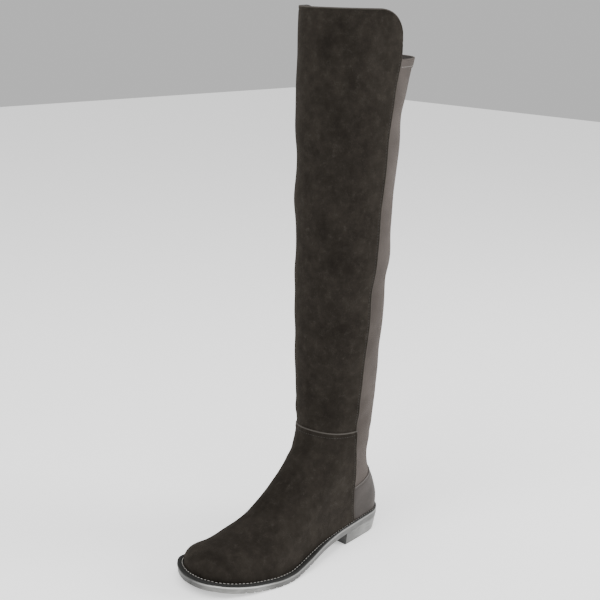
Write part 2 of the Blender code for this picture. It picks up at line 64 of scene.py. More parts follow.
SEAM_ANKLE, SEAM_TOP, COUNTER_TOP_SIDE, COUNTER_TOP_BACK, COUNTER_CLIMB = 0.563, 0.455, 0.405, 0.46, 1.5
OUTSOLE_WALL = BALL_SEAT - CLEARANCE
OVERLAY_OUT = CLEARANCE + OVERLAY_WALL
HEEL_CENTRE = HEEL_BREAST / 2
FRONT_COLLAR_HEIGHT = BACK_COLLAR_HEIGHT + COLLAR_RISE


def table(names, *rows):
    """A short table with named columns, one row for each section."""
    return {name: np.array(column, float) for name, column in zip(names.split(), zip(*rows))}


SEAT = table("share heel toe",
             (0.00, 1.00, 0.00), (0.16, 0.94, 0.00), (0.30, 0.81, 0.00), (0.42, 0.65, 0.00), (0.54, 0.33, 0.00),
             (0.63, 0.03, 0.00), (0.73, 0.00, 0.00), (0.81, 0.00, 0.15), (0.90, 0.00, 0.48), (1.00, 0.00, 1.00))
PLAN = table("share middle outer inner",
             (0.00, -0.041, 0.281, 0.320), (0.16, -0.019, 0.315, 0.338), (0.30, -0.003, 0.337, 0.303),
             (0.45, 0.010, 0.374, 0.279), (0.58, 0.010, 0.435, 0.350), (0.70, 0.000, 0.474, 0.468),
             (0.82, -0.025, 0.438, 0.498), (0.92, -0.055, 0.424, 0.547), (1.00, -0.080, 0.459, 0.451))
FRONT = table("forward height",
              (1.000, 0.000), (0.998, 0.057), (0.979, 0.100), (0.940, 0.140), (0.890, 0.166), (0.807, 0.188),
              (0.678, 0.240), (0.549, 0.307), (0.418, 0.415), (0.281, 0.558), (0.175, 0.672), (0.094, 0.770),
              (0.036, 0.868), (0.000, 1.000))
BACK = table("height bulge hollow",
             (0.00, 1.00, 0.00), (0.15, 0.93, 0.00), (0.30, 0.50, 0.00), (0.45, 0.00, 0.39), (0.62, 0.00, 1.20),
             (0.80, 0.00, 1.00), (1.00, 0.00, 1.00))
LEG = table("height front back half",
            (0.00, 0.00, 0.00, 0.00), (0.12, 0.35, 0.10, 0.20), (0.35, 0.48, 0.37, 0.52), (0.60, 0.50, 0.58, 0.78),
            (0.85, 0.98, 0.95, 0.96), (1.00, 1.00, 1.00, 1.00))
ROUND = table("rise power", (0.0, 2.35), (0.15, 2.3), (0.4, 2.1), (0.7, 2.05), (1.0, 2.0))
SEAM = table("rise share",
             (0.0, 0.205), (0.1, 0.225), (0.2, 0.244), (0.35, 0.262), (0.5, 0.276), (0.6, 0.300),
             (0.7, 0.348), (0.8, 0.420), (0.9, 0.502), (1.0, SEAM_ANKLE))
print("last:", LAST_LENGTH, "long; collar:", BACK_COLLAR_HEIGHT, "behind and", FRONT_COLLAR_HEIGHT, "in front")

# %% [markdown]
# ## Reading the tables
# A few sections say the form, and a smooth curve runs through them. A cubic on each stretch, whose end slopes are
# shared with its neighbours, neither wobbles nor shows a kink. Polygons between the sections would show as flats.

# %% Curves and blends


def smooth(x, places, values):
    """A curve through the points: on each stretch a cubic, with the neighbours' mean slope at its ends."""
    gap = np.diff(places)
    rise = np.diff(values) / gap
    slope = np.empty_like(values)
    slope[1:-1] = (rise[:-1] * gap[1:] + rise[1:] * gap[:-1]) / (gap[:-1] + gap[1:])
    slope[0] = rise[0]
    slope[-1] = rise[-1]
    x = np.clip(x, places[0], places[-1])
    i = np.clip(np.searchsorted(places, x, side="right") - 1, 0, len(places) - 2)
    t = (x - places[i]) / gap[i]
    start = (1 + 2 * t) * (1 - t) ** 2 * values[i] + t * (1 - t) ** 2 * gap[i] * slope[i]
    end = t * t * (3 - 2 * t) * values[i + 1] + t * t * (t - 1) * gap[i] * slope[i + 1]
    return start + end


def read(section, column, x):
    """A table's column at x, which runs along its first column."""
    return smooth(x, section[next(iter(section))], section[column])


def ease(x, start, end):
    """0 before start, 1 after end, and between them the smooth step 3 t squared minus 2 t cubed."""
    t = np.clip((x - start) / (end - start), 0, 1)
    return t * t * (3 - 2 * t)


def mix(a, b, share):
    """The value that lies a share of the way from a to b."""
    return a + (b - a) * share


def bell(distance, width, centre=0.0):
    """1 at the centre, and e to the minus square of the distance over the width beside it."""
    return np.exp(-((distance - centre) / width) ** 2)


def seat(reach):
    """Height of the upper's lower edge: the ball's seat, plus the heel's lift, plus the toe's spring."""
    share = reach / LAST_LENGTH
    heel = np.maximum(read(SEAT, "heel", share), 0)
    return BALL_SEAT + HEEL_LIFT * heel + TOE_SPRING * np.maximum(read(SEAT, "toe", share), 0)


print("seat at heel, arch, ball and toe in mm:", np.round(seat(LAST_LENGTH * np.array([0, 0.4, 0.68, 1])) * 1000, 1))

# %% [markdown]
# ## Rings round the foot and the leg
# The upper of a boot is pulled over the last, so it is one smooth skin. It is built from rings: each runs from the
# back line to the front line, first level round the heel, then tilted over the instep until it stands square to the
# shin. A ring is a curve in side view, and its half width closes to nothing at both ends like a stretched ellipse.
# This keeps the toe, the instep and the shin in one formula, where a lathe or a box would need joins.

# %% Side view of the rings


def leg_share(height):
    """0 at the ankle and 1 at the front collar."""
    return (height - ANKLE_HEIGHT) / (FRONT_COLLAR_HEIGHT - ANKLE_HEIGHT)


def back_reach(height):
    """Back line in side view: heel bulge and hollow on the foot, then the leg and its flared collar."""
    share = (height - seat(0.0)) / (ANKLE_HEIGHT - seat(0.0))
    foot = ANKLE_BACK * read(BACK, "hollow", share) - HEEL_BULGE * read(BACK, "bulge", share)
    flare = COLLAR_FLARE * np.clip(1 - (BACK_COLLAR_HEIGHT - height) / FLARE_DEPTH, 0, 1) ** 1.3
    leg = mix(ANKLE_BACK, TOP_BACK, read(LEG, "back", leg_share(height))) - flare
    return np.where(height > ANKLE_HEIGHT, leg, foot)


def shin_reach(height):
    """Front line of the leg in side view."""
    return mix(ANKLE_FRONT, TOP_FRONT, read(LEG, "front", leg_share(height)))


def front_line(points=600):
    """Front line of the foot from toe tip to ankle: reach, height and share of its own length."""
    reach = mix(ANKLE_FRONT, LAST_LENGTH, FRONT["forward"])
    height = mix(seat(LAST_LENGTH), ANKLE_HEIGHT, FRONT["height"])
    knots = np.append(0, np.cumsum(np.sqrt(np.hypot(np.diff(reach), np.diff(height)))))
    along = np.linspace(0, knots[-1], points)
    reach, height = smooth(along, knots, reach), smooth(along, knots, height)
    length = np.append(0, np.cumsum(np.hypot(np.diff(reach), np.diff(height))))
    return reach, height, length / length[-1]


FRONT_LINE = front_line()


def ring_paths(rise, points=321):
    """Side views of foot rings, a row each: Bezier curves that leave the heel level and meet the front line square.

    rise is 0 at the sole and 1 at the ankle. Heights count from the seat, so the lowest ring follows the sole.
    """
    reach, height, length = FRONT_LINE
    low, high = np.maximum(rise - 0.02, 0), np.minimum(rise + 0.02, 1)
    along = np.stack([np.interp(high, length, line) - np.interp(low, length, line) for line in (reach, height)], 1)
    square = np.stack([along[:, 1], -along[:, 0]], 1) / np.linalg.norm(along, axis=1)[:, None]
    square[rise == 0] = (1, 0)
    front_reach = np.interp(rise, length, reach)
    back_height = mix(seat(0.0), ANKLE_HEIGHT, rise)
    start = np.stack([back_reach(back_height), back_height - seat(0.0)], 1)
    end = np.stack([front_reach, np.interp(rise, length, height) - seat(front_reach)], 1)
    pull = 0.35 * np.linalg.norm(end - start, axis=1)
    rising = np.maximum(square[:, 1], 0.001)
    end_pull = np.where(square[:, 1] > 0.001, np.minimum(pull, 0.6 * end[:, 1] / rising), pull)
    first = start + np.stack([pull, 0 * pull], 1)
    second = end - square * end_pull[:, None]
    q = np.linspace(0, 1, points)[None, :, None]
    path = ((1 - q) ** 3 * start[:, None] + 3 * q * (1 - q) ** 2 * first[:, None]
            + 3 * q * q * (1 - q) * second[:, None] + q ** 3 * end[:, None])
    reach = path[..., 0]
    height = path[..., 1] + seat(reach)
    step = np.hypot(np.diff(reach), np.diff(height))
    return reach, height, np.concatenate([np.zeros((len(rise), 1)), np.cumsum(step, 1)], 1)


print("front line:", len(FRONT_LINE[0]), "points")

# %% Widths, and the two kinds of ring


def closing(distance, reach, power):
    """Share of the full width at a distance from a ring's end: a superellipse over the given reach."""
    away = 1 - np.clip(distance / reach, 0, 1)
    return np.clip(1 - away ** power, 0, 1) ** (1 / power)


def side_widths(reach, height):
    """Half widths on the outer and inner side and the middle line: the plan of the foot, changing to the leg's."""
    share = reach / LAST_LENGTH
    leg = mix(ANKLE_HALF_WIDTH, TOP_HALF_WIDTH, read(LEG, "half", leg_share(np.maximum(height, ANKLE_HEIGHT))))
    to_leg = ease(height, BLEND_FOOT, ANKLE_HEIGHT + BLEND_OVER) * (1 - ease(share, 0.42, 0.85))
    outer = mix(read(PLAN, "outer", share) * BALL_WIDTH, leg, to_leg)
    inner = mix(read(PLAN, "inner", share) * BALL_WIDTH, leg, to_leg)
    return outer, inner, read(PLAN, "middle", share) * BALL_WIDTH * (1 - to_leg)


def ring_sides(reach, height, width):
    """Reach, height, outer x and inner x of a ring, from its share of the full half widths."""
    outer, inner, middle = side_widths(reach, height)
    return reach, height, middle + outer * width, middle - inner * width


def foot_rings(rise, share):
    """Reach, height, outer x and inner x of foot rings. share is the place along each ring's own length."""
    path_reach, path_height, length = ring_paths(rise)
    whole = length[:, -1:]
    distance = share * whole
    rows = range(len(rise))
    reach = np.stack([np.interp(distance[row], length[row], path_reach[row]) for row in rows])
    height = np.stack([np.interp(distance[row], length[row], path_height[row]) for row in rows])
    rise = rise[:, None]
    front = mix(TOE_REACH * (1 - 0.1 * rise), whole / 2, ease(rise, 0.55, 1.0))
    to_ankle = ease(rise, 0.1, 1.0)
    back = mix(HEEL_ROUND, whole / 2, to_ankle)
    width = closing(whole - distance, front, read(ROUND, "power", rise))
    return ring_sides(reach, height, width * closing(distance, back, mix(HEEL_SQUARENESS, 2, to_ankle)))


def leg_rings(height, share):
    """The same for rings of the leg, which are ellipses in plan."""
    front, back = shin_reach(height), back_reach(height)
    half = (front - back) / 2
    reach = mix(back, front, share)
    return ring_sides(reach, height, closing(front - reach, half, 2) * closing(reach - back, half, 2))


def spread(angle, seam):
    """Share along a ring for an angle of 0 at the back and pi at the front. At pi / 2 it is the seam's share."""
    even = (1 - np.cos(angle)) / 2
    pull = seam / (1 - seam)
    return pull * even / (1 + (pull - 1) * even)


def collar_height(angle):
    """Top edge of the front panel: level, with a quarter circle down to its back corner."""
    quarter_girth = (TOP_FRONT - TOP_BACK + COLLAR_FLARE) / 2
    from_seam = np.clip((angle - np.pi / 2) * quarter_girth / COLLAR_CORNER, 0, 1)
    return FRONT_COLLAR_HEIGHT - COLLAR_CORNER * (1 - np.sqrt(1 - (1 - from_seam) ** 2))


# %% [markdown]
# ## The skin
# All leather and cloth of this boot lies on one skin, the outer face of its hollow wall. The skin is worked out once,
# on a fine grid: foot rows, leg rows up to the back collar, then rows for the front panel that stands above it.
# Every piece below takes a stretch of this grid and moves it out or in by its own thickness, so the pieces nest.

# %% The skin's grid
HALF_COLUMNS = 300
COLUMNS = 2 * HALF_COLUMNS
SEAM_COLUMN = HALF_COLUMNS // 2
ANGLES = np.linspace(0, np.pi, HALF_COLUMNS + 1)
RISES = np.linspace(0, 1, 161) ** 1.15
LEG_HEIGHTS = np.linspace(ANKLE_HEIGHT, BACK_COLLAR_HEIGHT, 261)[1:]
EAR_SHARES = np.linspace(0, 1, 37)[1:]
LEVEL_ROWS, CALM_ROWS, TOP_ROWS = 14, 20, 8
ANKLE_ROW = len(RISES) - 1
COLLAR_ROW = ANKLE_ROW + len(LEG_HEIGHTS)


def round_rows(rows):
    """Closed rows of points: up the outer side from back to front, then down the inner side."""
    reach, height, outer, inner = rows
    first = np.stack([outer, HEEL_CENTRE - reach, height], -1)
    second = np.stack([inner, HEEL_CENTRE - reach, height], -1)
    return np.concatenate([first, second[:, -2:0:-1]], 1)


def skin_grid():
    """Rows x columns x 3 of the bare skin."""
    foot = foot_rings(RISES, spread(ANGLES[None], read(SEAM, "share", RISES)[:, None]))
    top = collar_height(np.maximum(ANGLES, np.pi / 2))
    height = np.concatenate([np.repeat(LEG_HEIGHTS[:, None], len(ANGLES), 1),
                             mix(BACK_COLLAR_HEIGHT, top[None], EAR_SHARES[:, None])])
    climb = np.clip((height - ANKLE_HEIGHT) / (BACK_COLLAR_HEIGHT - ANKLE_HEIGHT), 0, 1)
    leg = leg_rings(height, spread(ANGLES[None], mix(SEAM_ANKLE, SEAM_TOP, climb)))
    return np.concatenate([round_rows(foot), round_rows(leg)])


def outward(grid):
    """Unit normals of a grid of closed rows, level near the sole so that a layer stays on the welt."""
    around = np.roll(grid, -1, 1) - np.roll(grid, 1, 1)
    normal = np.cross(np.gradient(grid, axis=0), around)
    normal[..., 2] *= ease(np.arange(len(grid)), 0, LEVEL_ROWS)[:, None]
    return normal / np.maximum(np.linalg.norm(normal, axis=-1, keepdims=True), 1e-12)


BARE = skin_grid()
NORMALS = outward(BARE)
print("skin:", BARE.shape, "lowest and highest in mm:", np.round(BARE.reshape(-1, 3).min(0) * 1000, 1),
      np.round(BARE.reshape(-1, 3).max(0) * 1000, 1))

# %% [markdown]
# ## Creases and soft waves
# Suede and stretch cloth are never as clean as a formula. The shin has a soft fold over the ankle seam, the instep
# breaks in shallow creases, and the tall shaft stands in slow waves. They could be simulated as cloth, but a boot in
# a shop keeps only a few, so each is listed on its own: a soft trough between two low ridges, fading out at its ends.
# One relief moves the whole skin, so that every layer bends with it.

# %% Creases in the shoe's own sizes
CREASES = table("x reach height across_x across_y across_z length width depth bend",
                (0.000, 0.100, 0.158, 0.0, 0.1, -1.0, 0.040, 0.0060, -0.0011, 0.10),
                (0.004, 0.101, 0.134, 0.0, 0.3, -1.0, 0.032, 0.0050, 0.0008, 0.15),
                (0.020, 0.108, 0.122, -0.2, 0.4, -1.0, 0.030, 0.0045, 0.0007, 0.20),
                (-0.018, 0.110, 0.117, 0.3, 0.5, -1.0, 0.028, 0.0045, 0.0006, 0.20),
                (0.012, 0.150, 0.076, -0.2, 1.0, -0.8, 0.030, 0.0050, 0.0005, 0.15),
                (-0.010, 0.168, 0.066, 0.2, 1.0, -0.6, 0.034, 0.0060, 0.0005, 0.10),
                (0.030, 0.176, 0.045, -0.3, 1.0, -0.2, 0.030, 0.0055, 0.0004, 0.10),
                (-0.034, 0.172, 0.040, 0.3, 1.0, -0.2, 0.030, 0.0055, 0.0004, 0.10),
                (0.036, 0.052, 0.150, 0.0, 0.5, 1.0, 0.034, 0.0070, 0.0007, 0.10),
                (-0.036, 0.050, 0.142, 0.0, 0.5, 1.0, 0.036, 0.0070, 0.0008, 0.10),
                (0.004, 0.010, 0.128, 0.0, -0.2, 1.0, 0.030, 0.0060, 0.0007, 0.08),
                (-0.004, 0.006, 0.152, 0.1, -0.2, 1.0, 0.032, 0.0070, 0.0005, 0.08),
                (0.045, 0.050, 0.300, 0.0, 0.3, 1.0, 0.050, 0.0120, 0.0006, 0.05),
                (-0.045, 0.040, 0.320, 0.0, -0.3, 1.0, 0.050, 0.0120, 0.0007, 0.05),
                (0.020, 0.098, 0.480, 0.1, 0.2, 1.0, 0.060, 0.0130, 0.0008, 0.05),
                (-0.030, 0.095, 0.440, -0.1, 0.2, 1.0, 0.060, 0.0130, 0.0008, 0.05))
WAVES = table("up round phase height",
              (0.085, 1.0, 0.4, 0.00055), (0.058, 2.0, 2.1, 0.00030), (0.121, -1.0, 4.0, 0.00045),
              (0.043, 3.0, 1.2, 0.00016), (0.069, -2.0, 5.2, 0.00022))


def crease_relief(points):
    """Sum of the creases: depth times a fading trough, minus a bell, with half a bell on each side."""
    relief = np.zeros(points.shape[:2])
    for x, reach, height, ax, ay, az, length, width, depth, bend in zip(*CREASES.values()):
        across = np.array([ax, -ay, az]) / np.linalg.norm([ax, ay, az])
        away = points - np.array([x, HEEL_CENTRE - reach, height])
        side = away @ across
        along = np.linalg.norm(away - side[..., None] * across, axis=-1)
        side = side + bend * along ** 2 / length
        ridges = bell(np.abs(side), width, 2 * width)
        relief += depth * bell(along, length) * (0.45 * ridges - bell(side, width))
    return relief


def wave_relief(points):
    """Slow waves of the shaft: sines of the height and of the angle round it, growing from the ankle up."""
    height = points[..., 2]
    angle = 2 * np.pi * np.arange(points.shape[1]) / points.shape[1]
    waves = [size * np.sin(2 * np.pi * height / up + turn * angle + phase)
             for up, turn, phase, size in zip(*WAVES.values())]
    calm = ease(height, 0.11, 0.24) * (1 - 0.6 * ease(height, 0.50, 0.54))
    return sum(waves) * calm


RELIEF = crease_relief(BARE) + wave_relief(BARE)
RELIEF *= ease(np.arange(len(BARE)), 0, CALM_ROWS)[:, None]
SKIN = BARE + NORMALS * RELIEF[..., None]
print("relief from", round(RELIEF.min() * 1000, 2), "to", round(RELIEF.max() * 1000, 2), "mm")

# %% [markdown]
# ## Sheets
# Leather and cloth are sheets with a cut or turned edge. A sheet could be one face with a Solidify modifier, but then
# its edges would be square and its two faces could not differ. Here each sheet is two grids, an outer and an inner
# one, closed by a half round rim. Every point also keeps where it lies on its panel: that is the UV map, in metres,
# and the distance to the nearest cut edge in millimetres, which the materials use for wear.

# %% Lengths along the skin


def run(grid, axis):
    """Length along a grid's axis, counted from its first point."""
    step = np.linalg.norm(np.diff(grid, axis=axis), axis=-1)
    start = np.zeros_like(np.take(step, [0], axis))
    return np.concatenate([start, np.cumsum(step, axis)], axis)


AROUND = run(np.concatenate([SKIN, SKIN[:, :1]], 1), 1)
GIRTH = AROUND[:, -1:]
UP = run(SKIN, 0)


def take(grid, row, column):
    """Grid values at fractional rows and columns, by blending the four neighbours. Columns run round and round."""
    row = np.clip(row, 0, grid.shape[0] - 1.001)
    low, left = np.floor(row).astype(int), np.floor(column).astype(int)
    up, across = row - low, column - left
    if grid.ndim == 3:
        up, across = up[..., None], across[..., None]
    left, right = left % grid.shape[1], (left + 1) % grid.shape[1]
    return mix(mix(grid[low, left], grid[low, right], across),
               mix(grid[low + 1, left], grid[low + 1, right], across), up)


def around(row, column):
    """Length round the skin from the back's middle line, up the outer side. Columns before that line count below 0."""
    turns = np.floor(column / COLUMNS)
    return take(AROUND, row, column - turns * COLUMNS) + turns * take(GIRTH, row, 0 * column)


def lay(row, column, distance):
    """Points of a layer: the skin at those places, moved along its normals."""
    normal = take(NORMALS, row, column)
    normal[..., 2] *= 1 - ease(row, COLLAR_ROW - TOP_ROWS, COLLAR_ROW)
    return take(SKIN, row, column) + normal * np.asarray(distance)[..., None]


print("girth at ankle and collar in mm:", np.round(GIRTH[[ANKLE_ROW, COLLAR_ROW], 0] * 1000, 1))

# %% Meshes from arrays


def mesh_piece(name, points, faces, place=None, **marks):
    """One object from points and groups of faces. place is a UV pair for each point, marks are numbers for each."""
    points = np.asarray(points, float).reshape(-1, 3)
    corners = np.concatenate([group.ravel() for group in faces])
    sizes = np.concatenate([np.full(len(group), group.shape[1]) for group in faces])
    used, corners = np.unique(corners, return_inverse=True)
    mesh = bpy.data.meshes.new(name)
    mesh.vertices.add(len(used))
    mesh.vertices.foreach_set("co", points[used].astype(np.float32).ravel())
    mesh.loops.add(len(corners))
    mesh.loops.foreach_set("vertex_index", corners.astype(np.int32))
    mesh.polygons.add(len(sizes))
    mesh.polygons.foreach_set("loop_start", np.append(0, np.cumsum(sizes)[:-1]).astype(np.int32))
    mesh.update(calc_edges=True)
    if place is not None:
        layer = mesh.uv_layers.new(name="place")
        layer.data.foreach_set("uv", np.asarray(place, np.float32).reshape(-1, 2)[used][corners].ravel())
    for mark, values in marks.items():
        attribute = mesh.attributes.new(mark, "FLOAT", "POINT")
        attribute.data.foreach_set("value", np.asarray(values, np.float32).ravel()[used])
    mesh.shade_smooth()
    piece = bpy.data.objects.new(name, mesh)
    bpy.context.scene.collection.objects.link(piece)
    print(f"{name}: {len(used)} points, {int((sizes - 2).sum())} triangles, closed: {closed(mesh)}")
    return piece


def tube(rows, corners, ring=False):
    """Quads between closed rows of points, each row to the next one. In a ring the last row meets the first."""
    row, corner = np.meshgrid(np.arange(rows if ring else rows - 1), np.arange(corners), indexing="ij")
    after, beyond = (row + 1) % rows * corners, (corner + 1) % corners
    row = row * corners
    return np.stack([row + corner, after + corner, after + beyond, row + beyond], -1).reshape(-1, 4)


def closed(mesh):
    """True where every edge has exactly two faces."""
    edges = np.empty(len(mesh.loops), np.int32)
    mesh.loops.foreach_get("edge_index", edges)
    return bool((np.bincount(edges, minlength=len(mesh.edges)) == 2).all())


def sheet_piece(name, outer, inner, cells=None, wrap=False, place=None, rim_steps=4, **marks):
    """A sheet with thickness: both grids' used cells, and a half round rim along each edge that one cell uses."""
    rows, columns = outer.shape[:2]
    if cells is None:
        cells = np.ones((rows - 1, columns if wrap else columns - 1), bool)
    row, column = np.nonzero(cells)
    beside = (column + 1) % columns
    a, b = row * columns + column, row * columns + beside
    c, d = b + columns, a + columns
    count = rows * columns
    edges = np.concatenate([np.stack(pair, 1) for pair in ((a, b), (b, c), (c, d), (d, a))])
    border = edges[~np.isin(edges[:, 0] * count + edges[:, 1], edges[:, 1] * count + edges[:, 0])]
    outer, inner = outer.reshape(-1, 3), inner.reshape(-1, 3)
    ring = np.unique(border)
    number = np.zeros(count, int)
    number[ring] = np.arange(len(ring))
    through = outer - inner
    half = np.linalg.norm(through, axis=1, keepdims=True) / 2
    through = through / np.maximum(2 * half, 1e-9)
    out = np.zeros_like(outer)
    along = outer[border[:, 1]] - outer[border[:, 0]]
    for end in (0, 1):
        np.add.at(out, border[:, end], np.cross(through[border[:, end]], along))
    out = out[ring] / np.maximum(np.linalg.norm(out[ring], axis=1, keepdims=True), 1e-12)
    turn = np.pi * np.arange(1, rim_steps)[:, None, None] / rim_steps
    rim = (outer + inner)[ring] / 2 + half[ring] * (through[ring] * np.cos(turn) + out * np.sin(turn))
    levels = [2 * count + step * len(ring) + number[border] for step in range(rim_steps - 1)]
    levels = [border, *levels, border + count]
    faces = [np.stack([a, d, c, b], 1), count + np.stack([a, b, c, d], 1)]
    faces += [np.stack([low[:, 0], low[:, 1], high[:, 1], high[:, 0]], 1) for low, high in zip(levels, levels[1:])]
    points = np.concatenate([outer, inner, rim.reshape(-1, 3)])

    def everywhere(values):
        """A mark's values on the outer grid, the inner grid and each step of the rim."""
        flat = np.asarray(values, float).reshape(count, -1)
        return np.concatenate([flat, flat] + [flat[ring]] * (rim_steps - 1))

    marks = {mark: everywhere(values) for mark, values in marks.items()}
    return mesh_piece(name, points, faces, None if place is None else everywhere(place), **marks)


print("sheets are closed by half round rims")

# %% [markdown]
# ## Suede panels
# The front of the boot is two suede panels: a vamp over the foot and a tall panel up the leg, which stands above the
# back collar. They meet in a seam over the ankle, where the vamp's cut edge laps the tall panel and shows light.
# Each panel is one stretch of the skin, lifted by its own wall. The lap and the puckers of the seams are small
# changes of that lift, which is cheaper and cleaner than sewing two meshes together.

# %% Lift of the panels
LAP, LAP_FADE = 0.0009, 0.010
STITCH_INSET, STITCH_SINK, STITCH_FURROW = 0.0028, 0.0004, 0.0012
PANEL_SIDES = SEAM_COLUMN + 0.3, COLUMNS - SEAM_COLUMN - 0.3


def grid_places(first, last, rows, left, right, columns):
    """Fractional rows and columns of a rectangular stretch of the skin."""
    return np.meshgrid(np.linspace(first, last, rows), np.linspace(left, right, columns), indexing="ij")


def place_on_panel(row, column):
    """UV pairs in metres: length round from the back's middle line, and length up from the sole."""
    return np.stack([around(row, column), take(UP, row, column)], -1)


def seam_distance(row, column):
    """Length along the skin to the side seam of the same side, positive on the front panels."""
    column = np.where(column > HALF_COLUMNS, column - COLUMNS, column)
    side = np.where(column < 0, -1, 1)
    return side * (around(row, column) - around(row, side * float(SEAM_COLUMN)))


def pucker(along, away, pitch, depth, reach):
    """Small ripples beside a seam: sines along it, slightly uneven, that die out with the distance from it."""
    place = along / pitch
    ripple = np.sin(2 * np.pi * along / pitch + 1.7 * np.sin(place * 0.9)) * (0.6 + 0.4 * np.sin(place * 0.37))
    return depth * ripple * bell(away, reach)


def panel_lift(row, column):
    """How far a front panel's outer face stands off the skin, with ripples along its side seams."""
    away = seam_distance(row, column)
    lift = OVERLAY_OUT + pucker(take(UP, row, column), away, 0.0085, 0.00010, 0.009)
    return lift - STITCH_SINK * bell(away, STITCH_FURROW, STITCH_INSET)


def panel(name, row, column, lift, under, **marks):
    """A sheet laid on the skin at those rows and columns, from a distance under its face up to its lift."""
    return sheet_piece(name, lay(row, column, lift), lay(row, column, under + 0 * row),
                       place=place_on_panel(row, column), **marks)


print("the vamp laps the tall panel by a step of", 1000 * LAP, "mm")


# %% The tall front panel
LAST_ROW = len(SKIN) - 1
row, column = grid_places(ANKLE_ROW, LAST_ROW, 250, *PANEL_SIDES, 160)
climb = take(UP, row, column) - take(UP, np.full_like(row, ANKLE_ROW), column)
drop = take(UP, np.full_like(row, LAST_ROW), column) - take(UP, row, column)
side = seam_distance(row, column)
lift = panel_lift(row, column) - 0.0004 * (1 - ease(climb, 0, 0.006))
lift += pucker(around(row, column), climb, 0.007, 0.00012, 0.008)
lift -= 0.00035 * bell(drop, STITCH_FURROW, 0.0035)
edge = 1000 * np.minimum(side, drop)
shaft_panel = panel("shaft_panel", row, column, lift, CLEARANCE, edge=edge, seam=1000 * climb)

# %% The vamp
row, column = grid_places(0, ANKLE_ROW, 150, *PANEL_SIDES, 220)
below = take(UP, np.full_like(row, ANKLE_ROW), column) - take(UP, row, column)
side = seam_distance(row, column)
lift = panel_lift(row, column) + LAP * (1 - ease(below, 0.001, LAP_FADE))
lift += pucker(around(row, column), below, 0.007, 0.00010, 0.008)
vamp_outer = lay(row, column, lift)
vamp_outer[0, :, 2] = lay(row, column, lift * 0)[0, :, 2]
vamp_panel = sheet_piece("vamp_panel", vamp_outer, lay(row, column, CLEARANCE + 0 * row),
                         place=place_on_panel(row, column), edge=1000 * side, seam=1000 * below)

# %% [markdown]
# ## Stretch back and lining
# The back of the shaft is one strip of stretch cloth, from the counter up to a turned hem, so that the tall boot can
# be pulled on without a zip. The hem is the cloth folded in and stitched down: a slightly thicker band whose lower
# edge casts a thin shadow. It is a step in the strip's lift. The lining is a sheet of its own, because it shows
# inside the whole collar and has another finish.

# %% The stretch back
UNDER = 3
row, column = grid_places(0, COLLAR_ROW, 300, -SEAM_COLUMN - UNDER, SEAM_COLUMN + UNDER, 140)
from_top = take(UP, np.full_like(row, COLLAR_ROW), column) - take(UP, row, column)
away = -seam_distance(row, column)
lift = HEM_STEP * (1 - ease(from_top, HEM_DEPTH - 0.0004, HEM_DEPTH + 0.0006))
lift -= 0.00035 * bell(from_top - HEM_DEPTH, 0.0008, 0.0012)
lift += pucker(around(row, column), np.abs(from_top - HEM_DEPTH), 0.0065, 0.00012, 0.006)
lift += pucker(take(UP, row, column), away, 0.0075, 0.00008, 0.006)
LINING_OUT = -0.0008
stretch_back = panel("stretch_back", row, column, lift, LINING_OUT)

# %% The lining
row, column = np.meshgrid(np.append(np.linspace(0, COLLAR_ROW, 120), np.linspace(COLLAR_ROW, LAST_ROW, 16)[1:]),
                          np.arange(-HALF_COLUMNS, HALF_COLUMNS, 4.0), indexing="ij")
front = np.abs(column) >= SEAM_COLUMN
outer = lay(row, column, np.where(front & (row > COLLAR_ROW), 0.0, LINING_OUT - 0.0001))
inner = lay(row, column, np.full_like(row, -UPPER_WALL))
cells = np.ones((len(row) - 1, row.shape[1]), bool)
cells[(row[:-1] >= COLLAR_ROW) & (np.minimum(np.abs(column), np.abs(column + 4))[:-1] < SEAM_COLUMN)] = False
boot_lining = sheet_piece("boot_lining", outer, inner, cells, wrap=True)

# %% [markdown]
# ## Heel counter
# Behind the vamp a smooth leather counter cups the heel. Its top edge starts low at the side seam and climbs to the
# back. It is again a stretch of the skin, but its rows bend: each column ends at its own height.

# %% The counter
COUNTER_WALL, COUNTER_INSET = 0.0011, 0.0026


def counter_row(column, share):
    """Row of the skin at a share of the counter's height. Its top climbs from the side seams to the back."""
    inward = np.clip(1 - np.abs(column) / SEAM_COLUMN, 0, 1)
    rise = mix(COUNTER_TOP_SIDE, COUNTER_TOP_BACK, inward ** COUNTER_CLIMB)
    return np.interp(share * rise, RISES, np.arange(len(RISES)))


column = np.linspace(-SEAM_COLUMN - UNDER, SEAM_COLUMN + UNDER, 150)[None]
row = counter_row(column, np.linspace(0, 1, 70)[:, None])
column = column + 0 * row
to_top = take(UP, row[-1:], column[-1:]) - take(UP, row, column)
lift = COUNTER_WALL - 0.0003 * bell(to_top, 0.0009, COUNTER_INSET)
lift -= 0.0009 * ease(np.abs(column), SEAM_COLUMN - UNDER, SEAM_COLUMN + 1)
heel_counter = panel("heel_counter", row, column, lift, 0.00005, edge=1000 * to_top)

# %% [markdown]
# ## Sole, heel and welt
# The outsole is one rubber plate that follows the last's lower edge: raised under the heel, hollow at the arch, flat
# at the ball and sprung at the toe. Its side has a lip along the top and its forefoot has lugs. It is a row of closed
# sections along the foot, so the side, the lugs and the ends all come from one function.

# %% Plan of the sole


